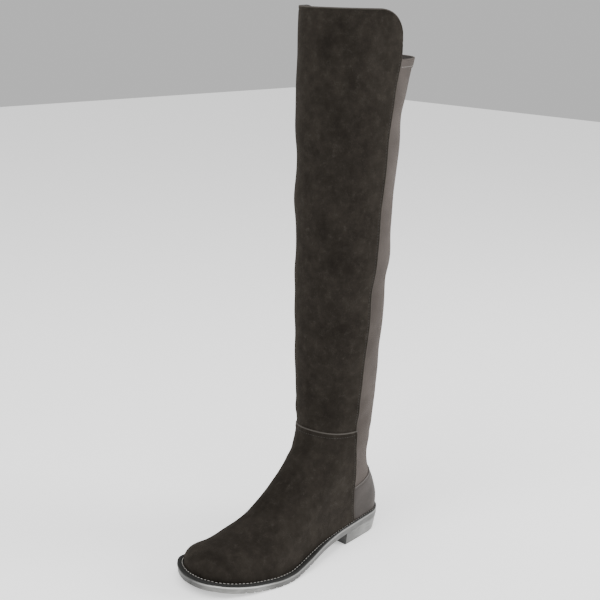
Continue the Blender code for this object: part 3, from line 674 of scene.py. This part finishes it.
def sole_edges(stations, out):
    """Outer and inner edge of the sole in plan at stations along the last, moved outwards by a distance."""
    share = (1 - np.cos(np.linspace(0, np.pi, 1601))) / 2
    reach, height, outer, inner = [line[0] for line in foot_rings(np.zeros(1), share[None])]
    edges = []
    for side, sign in ((outer, 1), (inner, -1)):
        plan = np.stack([side, HEEL_CENTRE - reach], -1)
        along = np.gradient(plan, axis=0)
        normal = sign * np.stack([-along[:, 1], along[:, 0]], -1)
        normal /= np.linalg.norm(normal, axis=1, keepdims=True)
        moved = plan + normal * (out(reach) + 0 * reach)[:, None]
        edges.append(np.stack([np.interp(stations, reach, moved[:, axis]) for axis in (0, 1)], -1))
    return edges


def shelf(reach):
    """How far the sole stands out past the panels' faces: little at the heel, more round the forefoot."""
    return OVERLAY_OUT + mix(SHELF_HEEL, SHELF_FOREFOOT, ease(reach / LAST_LENGTH, 0.25, 0.55))


def edge_strength(reach):
    """How strongly the sole's lip and chamfer show: fully round the forefoot, faintly beside the heel."""
    return mix(HEEL_EDGE_SHARE, 1, ease(reach / LAST_LENGTH, 0.25, 0.45))


def waist(reach):
    """How far the sole's side stands out below its lip."""
    return shelf(reach) - SOLE_LIP * edge_strength(reach)


def lug_groove(reach):
    """1 in a groove between two lugs and 0 on a lug, with slanted flanks."""
    place = reach - TREAD_START * LAST_LENGTH
    lugs = round(TREAD_RUN * LAST_LENGTH / LUG_PITCH)
    nearest = np.clip(np.round((place - LUG_GROOVE / 2) / LUG_PITCH), 0, lugs - 1)
    away = np.abs(place - LUG_PITCH * nearest - LUG_GROOVE / 2)
    return 1 - ease(away, 0.30 * LUG_GROOVE, 0.52 * LUG_GROOVE)


def end_stations(first, last, count):
    """Stations between two places of the last, closer together towards the heel's back and the toe's tip."""
    reach = mix(-HEEL_BULGE, LAST_LENGTH, (1 - np.cos(np.pi * (np.arange(count) + 0.05) / (count - 0.9))) / 2)
    return reach[(reach > first) & (reach < last)]


def loft_piece(name, outer, inner, steps, **marks):
    """A body between its two sides, each sections x points x 3 from the top down. marks are given down a side.

    A section runs down the outer side, over the bottom, up the inner side and back over the top, in so many steps
    across. The first and the last section are closed by a strip of quads.
    """
    across = np.linspace(0, 1, steps)[1:-1][None, :, None]
    sections = np.concatenate([outer, mix(outer[:, -1:], inner[:, -1:], across), inner[:, ::-1],
                               mix(inner[:, :1], outer[:, :1], across)], 1)
    count, corners = sections.shape[:2]
    strip = np.arange(corners // 2 - 1)
    cap = np.stack([strip, strip + 1, corners - 2 - strip, corners - 1 - strip], 1)
    bare = np.zeros(steps - 2)
    marks = {mark: np.tile(np.concatenate([side, bare, side[::-1], bare]), count) for mark, side in marks.items()}
    faces = [tube(count, corners), cap, (count - 1) * corners + cap[:, ::-1]]
    return mesh_piece(name, sections, faces, sections[..., :2], **marks)


print("sole's reach past the foot in mm, heel and ball:", np.round(1000 * shelf(np.array([0.0, 0.2])), 1))

# %% The outsole
LIP_POINTS = 5
reach = np.append(end_stations(-HEEL_BULGE, LAST_LENGTH, 260), np.linspace(0.49, 0.93, 380) * LAST_LENGTH)
reach = np.unique(reach)
groove = lug_groove(reach)


def seat_under(plan):
    """Height of the outsole's top under plan points."""
    return seat(HEEL_CENTRE - plan[:, 1]) - CLEARANCE


def side_points(number):
    """Sections x points x 3 down one side of the outsole."""
    rows = []
    for draw, fall in ((0.8, 0.0), (0.25, 0.00018), (0.0, 0.0006), (0.0, SOLE_LIP_HEIGHT - 0.0002),
                       (0.2, SOLE_LIP_HEIGHT), (1.0, SOLE_LIP_HEIGHT + 0.0005)):
        plan = sole_edges(reach, lambda place: mix(shelf(place), waist(place), draw))[number]
        rows.append(np.column_stack([plan, seat_under(plan) - fall]))
    chamfer = SOLE_CHAMFER * edge_strength(reach)
    plan = sole_edges(reach, waist)[number]
    top = seat_under(plan)
    low = top - OUTSOLE_WALL + chamfer + groove * LUG_DEPTH
    for share in (0.4, 0.8, 1.0):
        rows.append(np.column_stack([plan, mix(top - SOLE_LIP_HEIGHT - 0.0005, low, share)]))
    for turn in (0.25, 0.5, 0.75, 1.0):
        draw = SOLE_CHAMFER * (1 - np.cos(turn * np.pi / 2))
        plan = sole_edges(reach, lambda place: waist(place) - draw * edge_strength(place))[number]
        low = seat_under(plan) - OUTSOLE_WALL + groove * LUG_DEPTH
        rows.append(np.column_stack([plan, low + chamfer * (1 - np.sin(turn * np.pi / 2))]))
    return np.stack(rows, 1)


outer_side, inner_side = side_points(0), side_points(1)
lip = np.arange(outer_side.shape[1]) < LIP_POINTS
outsole_rubber = loft_piece("outsole_rubber", outer_side, inner_side, 26, lip=lip)

# %% [markdown]
# ## Heel block
# The heel is a low block, flat on the floor, with a straight breast and sides that run on from the sole's. A cylinder
# cut in half would be wrong at the back, where the real block keeps the curve of the heel seat, so it is drawn from
# the same plan as the sole.

# %% The heel block
HEEL_EDGE = 0.0006
reach = np.append(end_stations(-HEEL_BULGE, HEEL_BREAST - 0.0004, 220), HEEL_BREAST)


def heel_side(number):
    """Sections x points x 3 down one side of the heel: a slight taper to a small round edge on the floor."""
    rows = []
    lean = HEEL_BACK_LEAN * (1 - reach / HEEL_BREAST)

    def level(draw, share):
        """The side's plan, drawn in, and moved forwards by a share of the back's lean."""
        plan = sole_edges(reach, lambda place: waist(place) - HEEL_SIDE_INSET - draw)[number]
        plan[:, 1] -= lean * share
        return plan

    for share in np.linspace(0, 1, 7):
        plan = level(HEEL_TAPER * share, share)
        rows.append(np.column_stack([plan, mix(seat(reach) - 2 * CLEARANCE - OUTSOLE_WALL, HEEL_EDGE, share)]))
    for turn in (0.33, 0.67, 1.0):
        plan = level(HEEL_TAPER + HEEL_EDGE * (1 - np.cos(turn * np.pi / 2)), 1)
        rows.append(np.column_stack([plan, HEEL_EDGE * (1 - np.sin(turn * np.pi / 2)) + 0 * reach]))
    return np.stack(rows, 1)


heel_block = loft_piece("heel_block", heel_side(0), heel_side(1), 14)

# %% [markdown]
# ## Welt and insole
# Between upper and sole lies the welt, a narrow strip that the upper is stitched to. It is dark, with a light thread
# round the forefoot, and it leaves a shadow line along the suede. The insole is a thin board inside, seen from above.

# %% The welt strip
WELT_STEPS = 420


def beside(distance, out, height, count):
    """A closed loop of points beside a layer of the foot in plan, at a height over the seat."""
    column = np.linspace(0, COLUMNS, count, endpoint=False)[None]
    row = np.full_like(column, np.interp(height, UP[:, 0], np.arange(len(UP))))
    plan = lay(row, column, np.full_like(row, distance))[0, :, :2]
    around = np.roll(plan, -1, 0) - np.roll(plan, 1, 0)
    normal = np.stack([-around[:, 1], around[:, 0]], -1)
    normal /= np.linalg.norm(normal, axis=1, keepdims=True)
    moved = plan + normal * np.reshape(out(HEEL_CENTRE - plan[:, 1]), (-1, 1))
    return np.column_stack([moved, seat(HEEL_CENTRE - moved[:, 1]) + height])


def welt_loop(out_share, height):
    """A loop on the welt: 0 is its inner edge beside the panels, 1 its outer edge over the sole's."""
    low = beside(OVERLAY_OUT, lambda reach: CLEARANCE + 0 * reach, 0.0, WELT_STEPS)
    high = beside(0.0, lambda reach: shelf(reach) - WELT_INSET, 0.0, WELT_STEPS)
    plan = mix(low, high, out_share)
    plan[:, 2] = seat(HEEL_CENTRE - plan[:, 1]) + WELT_LIFT + height
    return plan


WELT_SECTION = ((0.0, 0.00005), (0.0, 0.0007), (0.10, 0.0008), (0.28, WELT_WALL - 0.0002), (0.42, WELT_WALL),
                (0.80, WELT_WALL), (0.92, WELT_WALL - 0.0001), (0.98, WELT_WALL - 0.0004), (1.0, WELT_WALL - 0.0008),
                (1.0, 0.00005), (0.5, 0.00005))
loops = np.stack([welt_loop(out_share, height) for out_share, height in WELT_SECTION], 1)
share_out = np.tile([share for share, height in WELT_SECTION], WELT_STEPS)
welt_strip = mesh_piece("welt_strip", loops, [tube(WELT_STEPS, len(WELT_SECTION), ring=True)], loops[..., :2],
                        across=share_out)

# %% The insole board
half = 120
count = 2 * half
EDGE = ((0.0, 0.0001), (0.0, INSOLE_WALL - 0.0005), (0.0003, INSOLE_WALL - 0.0001), (0.001, INSOLE_WALL))
rings = np.stack([beside(-UPPER_WALL, lambda reach: -INSOLE_CLEARANCE - draw + 0 * reach, height, count)
                  for draw, height in EDGE])
strip = np.arange(1, half - 1)
lid = np.stack([strip, strip + 1, count - strip - 1, count - strip], 1)
tips = np.array([[0, 1, count - 1], [half - 1, half, half + 1]])
faces = [tube(len(EDGE), count), lid, 3 * count + lid[:, ::-1], tips, 3 * count + tips[:, ::-1]]
insole_board = mesh_piece("insole_board", rings, faces, rings[..., :2])

# %% [markdown]
# ## Threads
# A seam is a row of short stitches. Each stitch is a small capsule that lies along its seam and dips into the leather
# at both ends. All the stitches of a seam are made at once: one capsule of few faces, copied to every place by
# arithmetic on whole arrays. A dashed texture would be flat from the side, where a thread should stand up.

# %% Stitches along a line
SIDES = 6
TURN = 2 * np.pi * np.arange(SIDES) / SIDES
CAPSULE = table("along thick sink", (-0.5, 0.35, 0.9), (-0.42, 0.8, 0.35), (-0.2, 1.0, 0.0),
                (0.2, 1.0, 0.0), (0.42, 0.8, 0.35), (0.5, 0.35, 0.9))


def stitch_row(name, line, normals, pitch, length, radius, lift=0.0):
    """Capsules along a line of points. normals point away from the leather, pitch is from stitch to stitch."""
    distance = run(line, 0)
    count = int(distance[-1] / pitch)
    centre = (np.arange(count) + 0.5) * pitch

    def at(where, values):
        """Rows of values at lengths along the line."""
        return np.stack([np.interp(where, distance, values[:, axis]) for axis in range(3)], -1)

    middle = at(centre, line)
    along = at(centre + length / 2, line) - at(centre - length / 2, line)
    along /= np.maximum(np.linalg.norm(along, axis=1, keepdims=True), 1e-9)
    up = at(centre, normals)
    up -= along * (up * along).sum(1, keepdims=True)
    up /= np.linalg.norm(up, axis=1, keepdims=True)
    across = np.cross(along, up)
    rings = len(CAPSULE["along"])
    shift = CAPSULE["along"][:, None] * length
    thick = radius * CAPSULE["thick"][:, None]
    rise = thick * np.sin(TURN) + radius * (lift - CAPSULE["sink"][:, None])
    middle, along, up, across = [row[:, None, None] for row in (middle, along, up, across)]
    points = middle + along * shift[..., None] + up * rise[..., None] + across * (thick * np.cos(TURN))[..., None]
    ends = np.array([np.arange(SIDES), (rings - 1) * SIDES + np.arange(SIDES)[::-1]])
    first = np.arange(count)[:, None, None] * rings * SIDES
    return mesh_piece(name, points, [(first + tube(rings, SIDES)).reshape(-1, 4), (first + ends).reshape(-1, SIDES)])


def skin_line(row, column, distance):
    """Points and normals along a line on the skin, for a row of stitches."""
    row, column = [place[None] for place in np.broadcast_arrays(row * 1.0, column * 1.0)]
    return lay(row, column, np.full(row.shape, distance))[0], take(NORMALS, row, column)[0]


print("a stitch has", len(CAPSULE["along"]) * SIDES, "points")

# %% Hem, side seams, ankle seam and counter
ALONG = np.linspace(0, 1, 900)
SEAM_STITCH, HEM_STITCH = (0.0030, 0.0022, 0.00022), (0.0030, 0.0021, 0.00032)


def row_up(column, length):
    """Row at a length up from the sole along one column."""
    return np.interp(length, UP[:, int(column) % COLUMNS], np.arange(len(UP)))


hem_row = row_up(0, UP[COLLAR_ROW, 0] - HEM_DEPTH + 0.0016)
line, up = skin_line(hem_row, mix(-SEAM_COLUMN + 2, SEAM_COLUMN - 2, ALONG), HEM_STEP)
hem_stitches = stitch_row("hem_stitches", line, up, *HEM_STITCH)
seams = []
for number, seam in enumerate((SEAM_COLUMN, -SEAM_COLUMN)):
    for name, first, last in (("shaft", ANKLE_ROW + 3, LAST_ROW - 16), ("vamp", 4, ANKLE_ROW - 5)):
        rows = mix(first, last, ALONG)
        at_seam, beside_it = [take(AROUND, rows[None], 0 * rows[None] + SEAM_COLUMN + step)[0] for step in (0, 1)]
        inward = STITCH_INSET / (beside_it - at_seam)
        line, up = skin_line(rows, seam + np.sign(seam) * inward, OVERLAY_OUT - 0.0003)
        seams.append(stitch_row(f"{name}_side_stitches_{number}", line, up, *SEAM_STITCH))
column = mix(SEAM_COLUMN + 6, COLUMNS - SEAM_COLUMN - 6, ALONG)
line, up = skin_line(ANKLE_ROW - 3.2, column, OVERLAY_OUT + LAP - 0.0001)
seams.append(stitch_row("ankle_stitches", line, up, *SEAM_STITCH))
column = mix(-SEAM_COLUMN + 3, SEAM_COLUMN - 3, ALONG)
line, up = skin_line(counter_row(column, 1) - COUNTER_INSET / (UP[ANKLE_ROW, 0] / ANKLE_ROW), column, 0.0009)
seams.append(stitch_row("counter_stitches", line, up, *SEAM_STITCH))

# %% Welt stitches
WELT_STITCH = 0.0042, 0.0029, 0.00045
line = welt_loop(0.22, WELT_WALL - 0.00055)
front_part = np.roll(line, -WELT_STEPS // 8, axis=0)[:3 * WELT_STEPS // 4]
upright = np.tile([0.0, 0.0, 1.0], (len(front_part), 1))
welt_stitches = stitch_row("welt_stitches", front_part, upright, *WELT_STITCH, lift=0.4)

# %% [markdown]
# ## Finishes
# A finish is a tree of shader nodes, and most of it is arithmetic. Writing that as expressions keeps it readable, so a
# small class wraps a socket: adding or multiplying two of them adds the Math node. Colours are mixed by Mix nodes.
# Only base colour, roughness and the bump change over a surface. Everything else is a plain number on the shader.

# %% Shader arithmetic


class Value:
    """A number that changes over a surface. Arithmetic on it adds Math nodes to its finish."""

    def __init__(self, finish, socket):
        self.finish = finish
        self.socket = socket

    def __add__(self, other):
        return self.finish.math("ADD", self, other)

    def __sub__(self, other):
        return self.finish.math("SUBTRACT", self, other)

    def __rsub__(self, other):
        return self.finish.math("SUBTRACT", other, self)

    def __mul__(self, other):
        return self.finish.math("MULTIPLY", self, other)

    __radd__ = __add__
    __rmul__ = __mul__


class Finish:
    """One material, made by expressions on its surface's places and marks."""

    def __init__(self, name):
        self.material = bpy.data.materials.new(name)
        self.material.use_nodes = True
        self.nodes = self.material.node_tree.nodes
        self.links = self.material.node_tree.links
        self.shader = self.nodes["Principled BSDF"]

    def node(self, kind, settings=None, sockets=None, output=0):
        """A node of a type, its settings first, then the values or links of its sockets. Gives one of its outputs."""
        made = self.nodes.new(kind)
        for name, value in (settings or {}).items():
            setattr(made, name, value)
        for name, value in (sockets or {}).items():
            if isinstance(value, Value):
                self.links.new(value.socket, made.inputs[name])
            else:
                made.inputs[name].default_value = value
        return Value(self, made.outputs[output])

    def math(self, operation, *values):
        """One sum, product or other operation on values."""
        return self.node("ShaderNodeMath", {"operation": operation}, dict(enumerate(values)))

    def object_place(self):
        """Place in the boot's own space, in metres."""
        return self.node("ShaderNodeTexCoord", output="Object")

    def panel_place(self):
        """Place on the panel, in metres round the leg and up it: the piece's UV map."""
        return self.node("ShaderNodeUVMap", {"uv_map": "place"})

    def mark(self, name):
        """A number that each point of the mesh carries."""
        return self.node("ShaderNodeAttribute", {"attribute_name": name}, output="Fac")

    def stretched(self, place, x, y, z):
        """A place times x, y and z, so that a pattern gets longer along an axis with a small factor."""
        return self.node("ShaderNodeMapping", {}, {"Vector": place, "Scale": (x, y, z)})

    def parts(self, place):
        """The x, y and z of a place."""
        split = self.node("ShaderNodeSeparateXYZ", {}, {"Vector": place})
        return [Value(self, socket) for socket in split.socket.node.outputs]

    def noise(self, place, per_metre, detail=2.0, roughness=0.5):
        """Soft noise around one half, with so many lumps in a metre."""
        sockets = {"Vector": place, "Scale": per_metre, "Detail": detail, "Roughness": roughness}
        return self.node("ShaderNodeTexNoise", {}, sockets)

    def between(self, value, low, high):
        """Smooth step: 0 below low and 1 above high."""
        sockets = {"Value": value, "From Min": low, "From Max": high}
        return self.node("ShaderNodeMapRange", {"interpolation_type": "SMOOTHSTEP"}, sockets)

    def colours(self, share, first, second):
        """A colour between two others."""
        first, second = [other if isinstance(other, Value) else (*other, 1.0) for other in (first, second)]
        return self.node("ShaderNodeMix", {"data_type": "RGBA"}, {0: share, 6: first, 7: second}, output=2)

    def bump(self, height, distance, strength):
        """Normals tilted by the slope of a height, where 1 stands for the distance in metres."""
        return self.node("ShaderNodeBump", {}, {"Height": height, "Distance": distance, "Strength": strength})

    def wear(self, piece, **sockets):
        """Puts values, plain numbers and colours on the shader, and the finish on a piece."""
        for name, value in sockets.items():
            socket = self.shader.inputs[name.replace("_", " ")]
            if isinstance(value, Value):
                self.links.new(value.socket, socket)
            else:
                socket.default_value = (*value, 1.0) if isinstance(value, tuple) else value
        self.put(piece)
        print(f"{self.material.name}: {len(self.nodes)} nodes")

    def put(self, *pieces):
        """Makes this the only finish of each piece."""
        for piece in pieces:
            piece.data.materials.clear()
            piece.data.materials.append(self.material)

# %% [markdown]
# ### Suede
# Suede is the brushed flesh side of a hide. It has no gloss: short fibres lie in patches, brushed to and fro, so its
# tone changes in soft blotches with fine grain on top, and it lightens at grazing angles, which is sheen. The cut
# edges are bare and paler. Blotches, grain and fibres are noises in real sizes, from 25 mm down to half a millimetre.

# %% Suede finish
SUEDE_DARK, SUEDE_MIDDLE = (0.0115, 0.0098, 0.0080), (0.0270, 0.0232, 0.0192)
SUEDE_PALE, CUT_EDGE = (0.056, 0.051, 0.044), (0.100, 0.092, 0.083)


def suede(name, piece, edge_width, seam_light):
    """Suede whose cut edge is pale over edge_width in mm. seam_light is how pale the edge at the seam mark is."""
    made = Finish(name)
    place = made.object_place()
    blotch = made.noise(made.stretched(place, 1.0, 1.0, 0.7), 42, 3.0, 0.6)
    brushed = made.noise(place, 130, 3.0, 0.6)
    grain = made.noise(place, 900, 3.0, 0.7)
    fibre = made.noise(place, 2600, 2.0, 0.6)
    patch = made.noise(place, 85, 4.0, 0.65)
    tone = made.between(blotch * 0.35 + patch * 0.3 + brushed * 0.2 + grain * 0.15, 0.30, 0.72)
    colour = made.colours(tone, SUEDE_DARK, SUEDE_MIDDLE)
    raised = made.between(brushed * 0.4 + grain * 0.35 + fibre * 0.25, 0.52, 0.72)
    colour = made.colours(raised * 0.45, colour, SUEDE_PALE)
    edge = made.mark("edge") + (grain - 0.5) * 0.5
    cut = 1 - made.between(edge, 0.0, edge_width)
    seam_edge = (1 - made.between(made.mark("seam") + (grain - 0.5) * 0.3, 0.0, 0.5)) * seam_light
    colour = made.colours(made.math("MAXIMUM", cut * 0.55, seam_edge), colour, CUT_EDGE)
    height = brushed * 0.3 + grain * 0.5 + fibre * 0.35
    made.wear(piece, Base_Color=colour, Roughness=0.95, Normal=made.bump(height, 0.0006, 0.7),
              Specular_IOR_Level=0.03, Sheen_Weight=0.04, Sheen_Roughness=0.5, Sheen_Tint=(0.80, 0.70, 0.60))


suede("suede_tall", shaft_panel, 0.9, 0.0)
suede("suede_vamp", vamp_panel, 0.7, 0.6)

# %% [markdown]
# ### Stretch cloth, counter leather and lining
# The stretch cloth is a fine flat knit, seen as a soft grey-brown. Its ribs, 0.9 mm apart, are sines of the panel's
# own UV map, so that they follow the leg, where a pattern in plain space would slide across it. The counter is smooth
# leather with a small grain and a faint gloss. The lining is plain dark cloth.

# %% Cloth and smooth leather
CLOTH_DARK, CLOTH_PALE = (0.046, 0.039, 0.035), (0.072, 0.062, 0.056)
cloth = Finish("stretch_cloth")
across, up = cloth.parts(cloth.panel_place())[:2]
rib = cloth.math("SINE", across * (2 * np.pi / 0.0009))
course = cloth.math("SINE", up * (2 * np.pi / 0.0007))
soft = cloth.noise(cloth.object_place(), 30, 2.0, 0.5)
fuzz = cloth.noise(cloth.object_place(), 1800, 2.0, 0.6)
tone = cloth.between(soft * 0.6 + fuzz * 0.4 + rib * 0.03 + course * 0.02, 0.32, 0.68)
colour = cloth.colours(tone, CLOTH_DARK, CLOTH_PALE)
height = rib * 0.3 + course * 0.2 + fuzz * 0.4
cloth.wear(stretch_back, Base_Color=colour, Roughness=0.85, Normal=cloth.bump(height, 0.00025, 0.6),
           Specular_IOR_Level=0.06, Sheen_Weight=0.12, Sheen_Roughness=0.4, Sheen_Tint=(0.85, 0.75, 0.7))

COUNTER_DARK, COUNTER_PALE, COUNTER_EDGE = (0.034, 0.029, 0.026), (0.050, 0.043, 0.039), (0.110, 0.099, 0.092)
counter = Finish("counter_leather")
place = counter.object_place()
pebble = counter.noise(place, 1300, 3.0, 0.6)
soft = counter.noise(place, 45, 3.0, 0.5)
scuff = counter.between(counter.noise(counter.stretched(place, 1, 1, 3.0), 260, 4.0, 0.7), 0.60, 0.75)
colour = counter.colours(counter.between(soft * 0.7 + pebble * 0.3, 0.35, 0.65), COUNTER_DARK, COUNTER_PALE)
colour = counter.colours(scuff * 0.25, colour, COUNTER_EDGE)
colour = counter.colours((1 - counter.between(counter.mark("edge"), 0.0, 0.8)) * 0.8, colour, COUNTER_EDGE)
counter.wear(heel_counter, Base_Color=colour, Roughness=0.55 + scuff * 0.2, Normal=counter.bump(pebble, 0.0002, 0.5),
             Specular_IOR_Level=0.12)



def flecked(name, per_metre, detail, relief, roughness, dark, pale, *pieces):
    """Two tones in fine flecks that stand up a little: the fibres of a plain cloth, or the twist of a thread."""
    made = Finish(name)
    fleck = made.noise(made.object_place(), per_metre, detail)
    made.wear(pieces[0], Base_Color=made.colours(fleck, dark, pale), Roughness=roughness,
              Normal=made.bump(fleck, relief, 0.5))
    made.put(*pieces)


flecked("lining_cloth", 1500, 2.0, 0.0002, 0.8, (0.020, 0.017, 0.015), (0.040, 0.034, 0.030), boot_lining)

# %% [markdown]
# ### Rubber, welt, insole and threads
# The sole is rubber with a satin skin. Seen from above it mirrors the pale floor and the lights, so its side looks
# silvery. Fine moulding marks run along it, its lip carries a painted highlight, and painted shade darkens it in
# places.
# A mirror-like skin would show hard streaks of light, so its gloss is kept low and its pale colour is a painted
# reflection that carries the silver.

# %% Rubber finish
# The rubber's pale greys are a painted reflection of the floor and lights, with random cloud between them.
RUBBER_DARK, RUBBER_PALE, LIP_PAINTED_HIGHLIGHT = (0.150, 0.150, 0.143), (0.240, 0.240, 0.230), (0.60, 0.60, 0.58)


def rubber(name, piece, shade):
    """Satin rubber, cloudy and finely scratched. shade gives the painted shade: how much darker some faces are, from
    places x, y and z.
    """
    made = Finish(name)
    place = made.object_place()
    cloud = made.noise(place, 60, 3.0, 0.6)
    scratch = made.noise(made.stretched(place, 0.25, 0.25, 1.6), 420, 3.0, 0.6)
    fine = made.noise(place, 2200, 2.0, 0.5)
    colour = made.colours(made.between(cloud * 0.6 + scratch * 0.4, 0.35, 0.65), RUBBER_DARK, RUBBER_PALE)
    # Painted highlight: the lip rows are mixed towards a pale grey.
    colour = made.colours(made.mark("lip") * 0.7, colour, LIP_PAINTED_HIGHLIGHT)
    # Painted shade: faces are mixed towards near black as the shade function says.
    colour = made.colours(shade(made, *made.parts(place)), colour, (0.020, 0.020, 0.019))
    made.wear(piece, Base_Color=colour, Roughness=0.34 + cloud * 0.16, Specular_IOR_Level=0.3,
              Normal=made.bump(scratch * 0.3 + fine * 0.5, 0.0001, 0.4))


def painted_heel_shade(made, x, y, z):
    """Painted shade: the heel's straight front is painted dark, and its sides are painted darker towards the front and
    paler towards the back.
    """
    front = HEEL_CENTRE - HEEL_BREAST
    return made.math("MAXIMUM", (1 - made.between(y, front + 0.0002, front + 0.0010)) * 0.85,
                     (1 - made.between(y, front, -front)) * 0.60)


def painted_sole_shade(made, x, y, z):
    """Painted shade: darkest at the toe's inner corner, and a little less dark on the side behind the ball."""
    corner = 1 - made.between(x + y * 0.5, -0.125, -0.085)
    return made.math("MAXIMUM", corner * 0.85, made.between(y, -0.190, -0.150) * 0.62)


rubber("sole_rubber", outsole_rubber, painted_sole_shade)
rubber("heel_rubber", heel_block, painted_heel_shade)

welt_finish = Finish("welt_rubber")
place = welt_finish.object_place()
fine = welt_finish.noise(place, 1600, 2.0, 0.6)
rim = welt_finish.between(welt_finish.mark("across"), 0.35, 0.6)
colour = welt_finish.colours(fine, (0.006, 0.006, 0.0055), (0.011, 0.011, 0.010))
colour = welt_finish.colours(rim, colour, (0.020, 0.020, 0.019))
welt_finish.wear(welt_strip, Base_Color=colour, Roughness=0.7, Normal=welt_finish.bump(fine, 0.0002, 0.4),
                 Specular_IOR_Level=0.12)

board = Finish("insole_leather")
place = board.object_place()
pores = board.noise(place, 1100, 3.0, 0.6)
cloud = board.between(board.noise(place, 60), 0.3, 0.7)
colour = board.colours(cloud, (0.06, 0.045, 0.034), (0.085, 0.066, 0.050))
board.wear(insole_board, Base_Color=colour, Roughness=0.7, Normal=board.bump(pores, 0.0002, 0.5))

THREAD = 2500, 1.0, 0.0001, 0.7
flecked("dark_thread", *THREAD, (0.012, 0.010, 0.008), (0.03, 0.026, 0.022), *seams)
flecked("pale_thread", *THREAD, (0.16, 0.15, 0.14), (0.26, 0.245, 0.23), hem_stitches)
flecked("welt_thread", *THREAD, (0.28, 0.27, 0.25), (0.50, 0.48, 0.45), welt_stitches)

# %% [markdown]
# ## Joining the pieces to the imported model
# The boot has no joints, so every piece rides on its one body. Each panel, sole and board stands for the solid whose
# place it takes. The threads stand for no solid and only ride.

# %% Rides and replacements
STANDS_FOR = ((shaft_panel, "shaft_front", "suede"), (vamp_panel, "vamp", "suede"),
              (stretch_back, "upper", "stretch_cloth"), (boot_lining, "upper", "stretch_cloth"),
              (heel_counter, "counter", "counter_leather"), (outsole_rubber, "outsole", "sole_rubber"),
              (heel_block, "heel", "heel_stack"), (welt_strip, "welt", "welt_rubber"),
              (insole_board, "insole", "insole_board"))
for piece, node, finish_slot in STANDS_FOR:
    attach(piece, "root")
    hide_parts(node)
for piece in seams:
    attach(piece, "root")
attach(hem_stitches, "root")
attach(welt_stitches, "root")

# %% [markdown]
# ## Floor, light and camera
# The photo is a studio one: a pale ground, light from all around, and a stronger soft light behind the heel's outer
# side, which brightens the stretch cloth and the heel. The camera stands where the photo's did, turned and tilted by
# the same small angles, with a long lens.

# %% Stage and lights
bpy.ops.mesh.primitive_plane_add(size=8, location=(0, 0, 0))
floor = bpy.context.object
floor.name = "floor"
ground = Finish("pale_floor")
ground.wear(floor, Base_Color=(0.95, 0.95, 0.95), Roughness=0.9, Emission_Color=(1.0, 1.0, 1.0),
            Emission_Strength=0.6)
world = bpy.data.worlds.new("studio")
bpy.context.scene.world = world
world.use_nodes = True
sky = world.node_tree.nodes["Background"].inputs
sky["Color"].default_value = (1.0, 1.0, 1.0, 1.0)
sky["Strength"].default_value = 0.6


def stand(name, data, place, right, back):
    """A light or camera at a place, with its own x axis to the right and its z axis away from what it faces."""
    made = bpy.data.objects.new(name, data)
    axes = Matrix(np.stack([right, np.cross(back, right), back], 1)).to_4x4()
    made.matrix_world = Matrix.Translation(place) @ axes
    bpy.context.scene.collection.objects.link(made)
    return made


def soft_light(name, place, target, size, power):
    """A square soft light at a place, turned towards a target."""
    lamp = bpy.data.lights.new(name, "AREA")
    lamp.size = size
    lamp.energy = power
    back = np.array(place) - np.array(target)
    back /= np.linalg.norm(back)
    right = np.cross((0, 0, 1), back)
    stand(name, lamp, place, right / np.linalg.norm(right), back)
    print(name, "at", place, "with", power, "W")


soft_light("side_light", (1.5, 1.3, 0.8), (0, 0, 0.36), 1.0, 48)
soft_light("front_light", (0.1, -1.6, 1.9), (0, 0, 0.25), 1.2, 30)
soft_light("top_light", (0.2, -0.2, 2.2), (0, 0, 0.2), 1.4, 26)

# %% The camera
CAMERA_PLACE = (0.8545, -0.9767, 0.6221)
CAMERA_TURN, CAMERA_TILT, CAMERA_ROLL = np.radians((43.74, 15.04, 1.50))
FOCAL_PIXELS, FRAME_PIXELS, SENSOR = 1213.7, 600, 36.0
right = np.array([np.cos(CAMERA_TURN), np.sin(CAMERA_TURN), 0])
level = np.array([np.sin(CAMERA_TURN), -np.cos(CAMERA_TURN), 0])
back = level * np.cos(CAMERA_TILT) + np.array([0, 0, np.sin(CAMERA_TILT)])
rolled_right = np.cos(CAMERA_ROLL) * right + np.sin(CAMERA_ROLL) * np.cross(back, right)
lens = bpy.data.cameras.new("camera")
lens.sensor_width = SENSOR
lens.lens = SENSOR * FOCAL_PIXELS / FRAME_PIXELS
camera = stand("camera", lens, CAMERA_PLACE, rolled_right, back)
bpy.context.scene.camera = camera
print("lens:", round(lens.lens, 1), "mm")
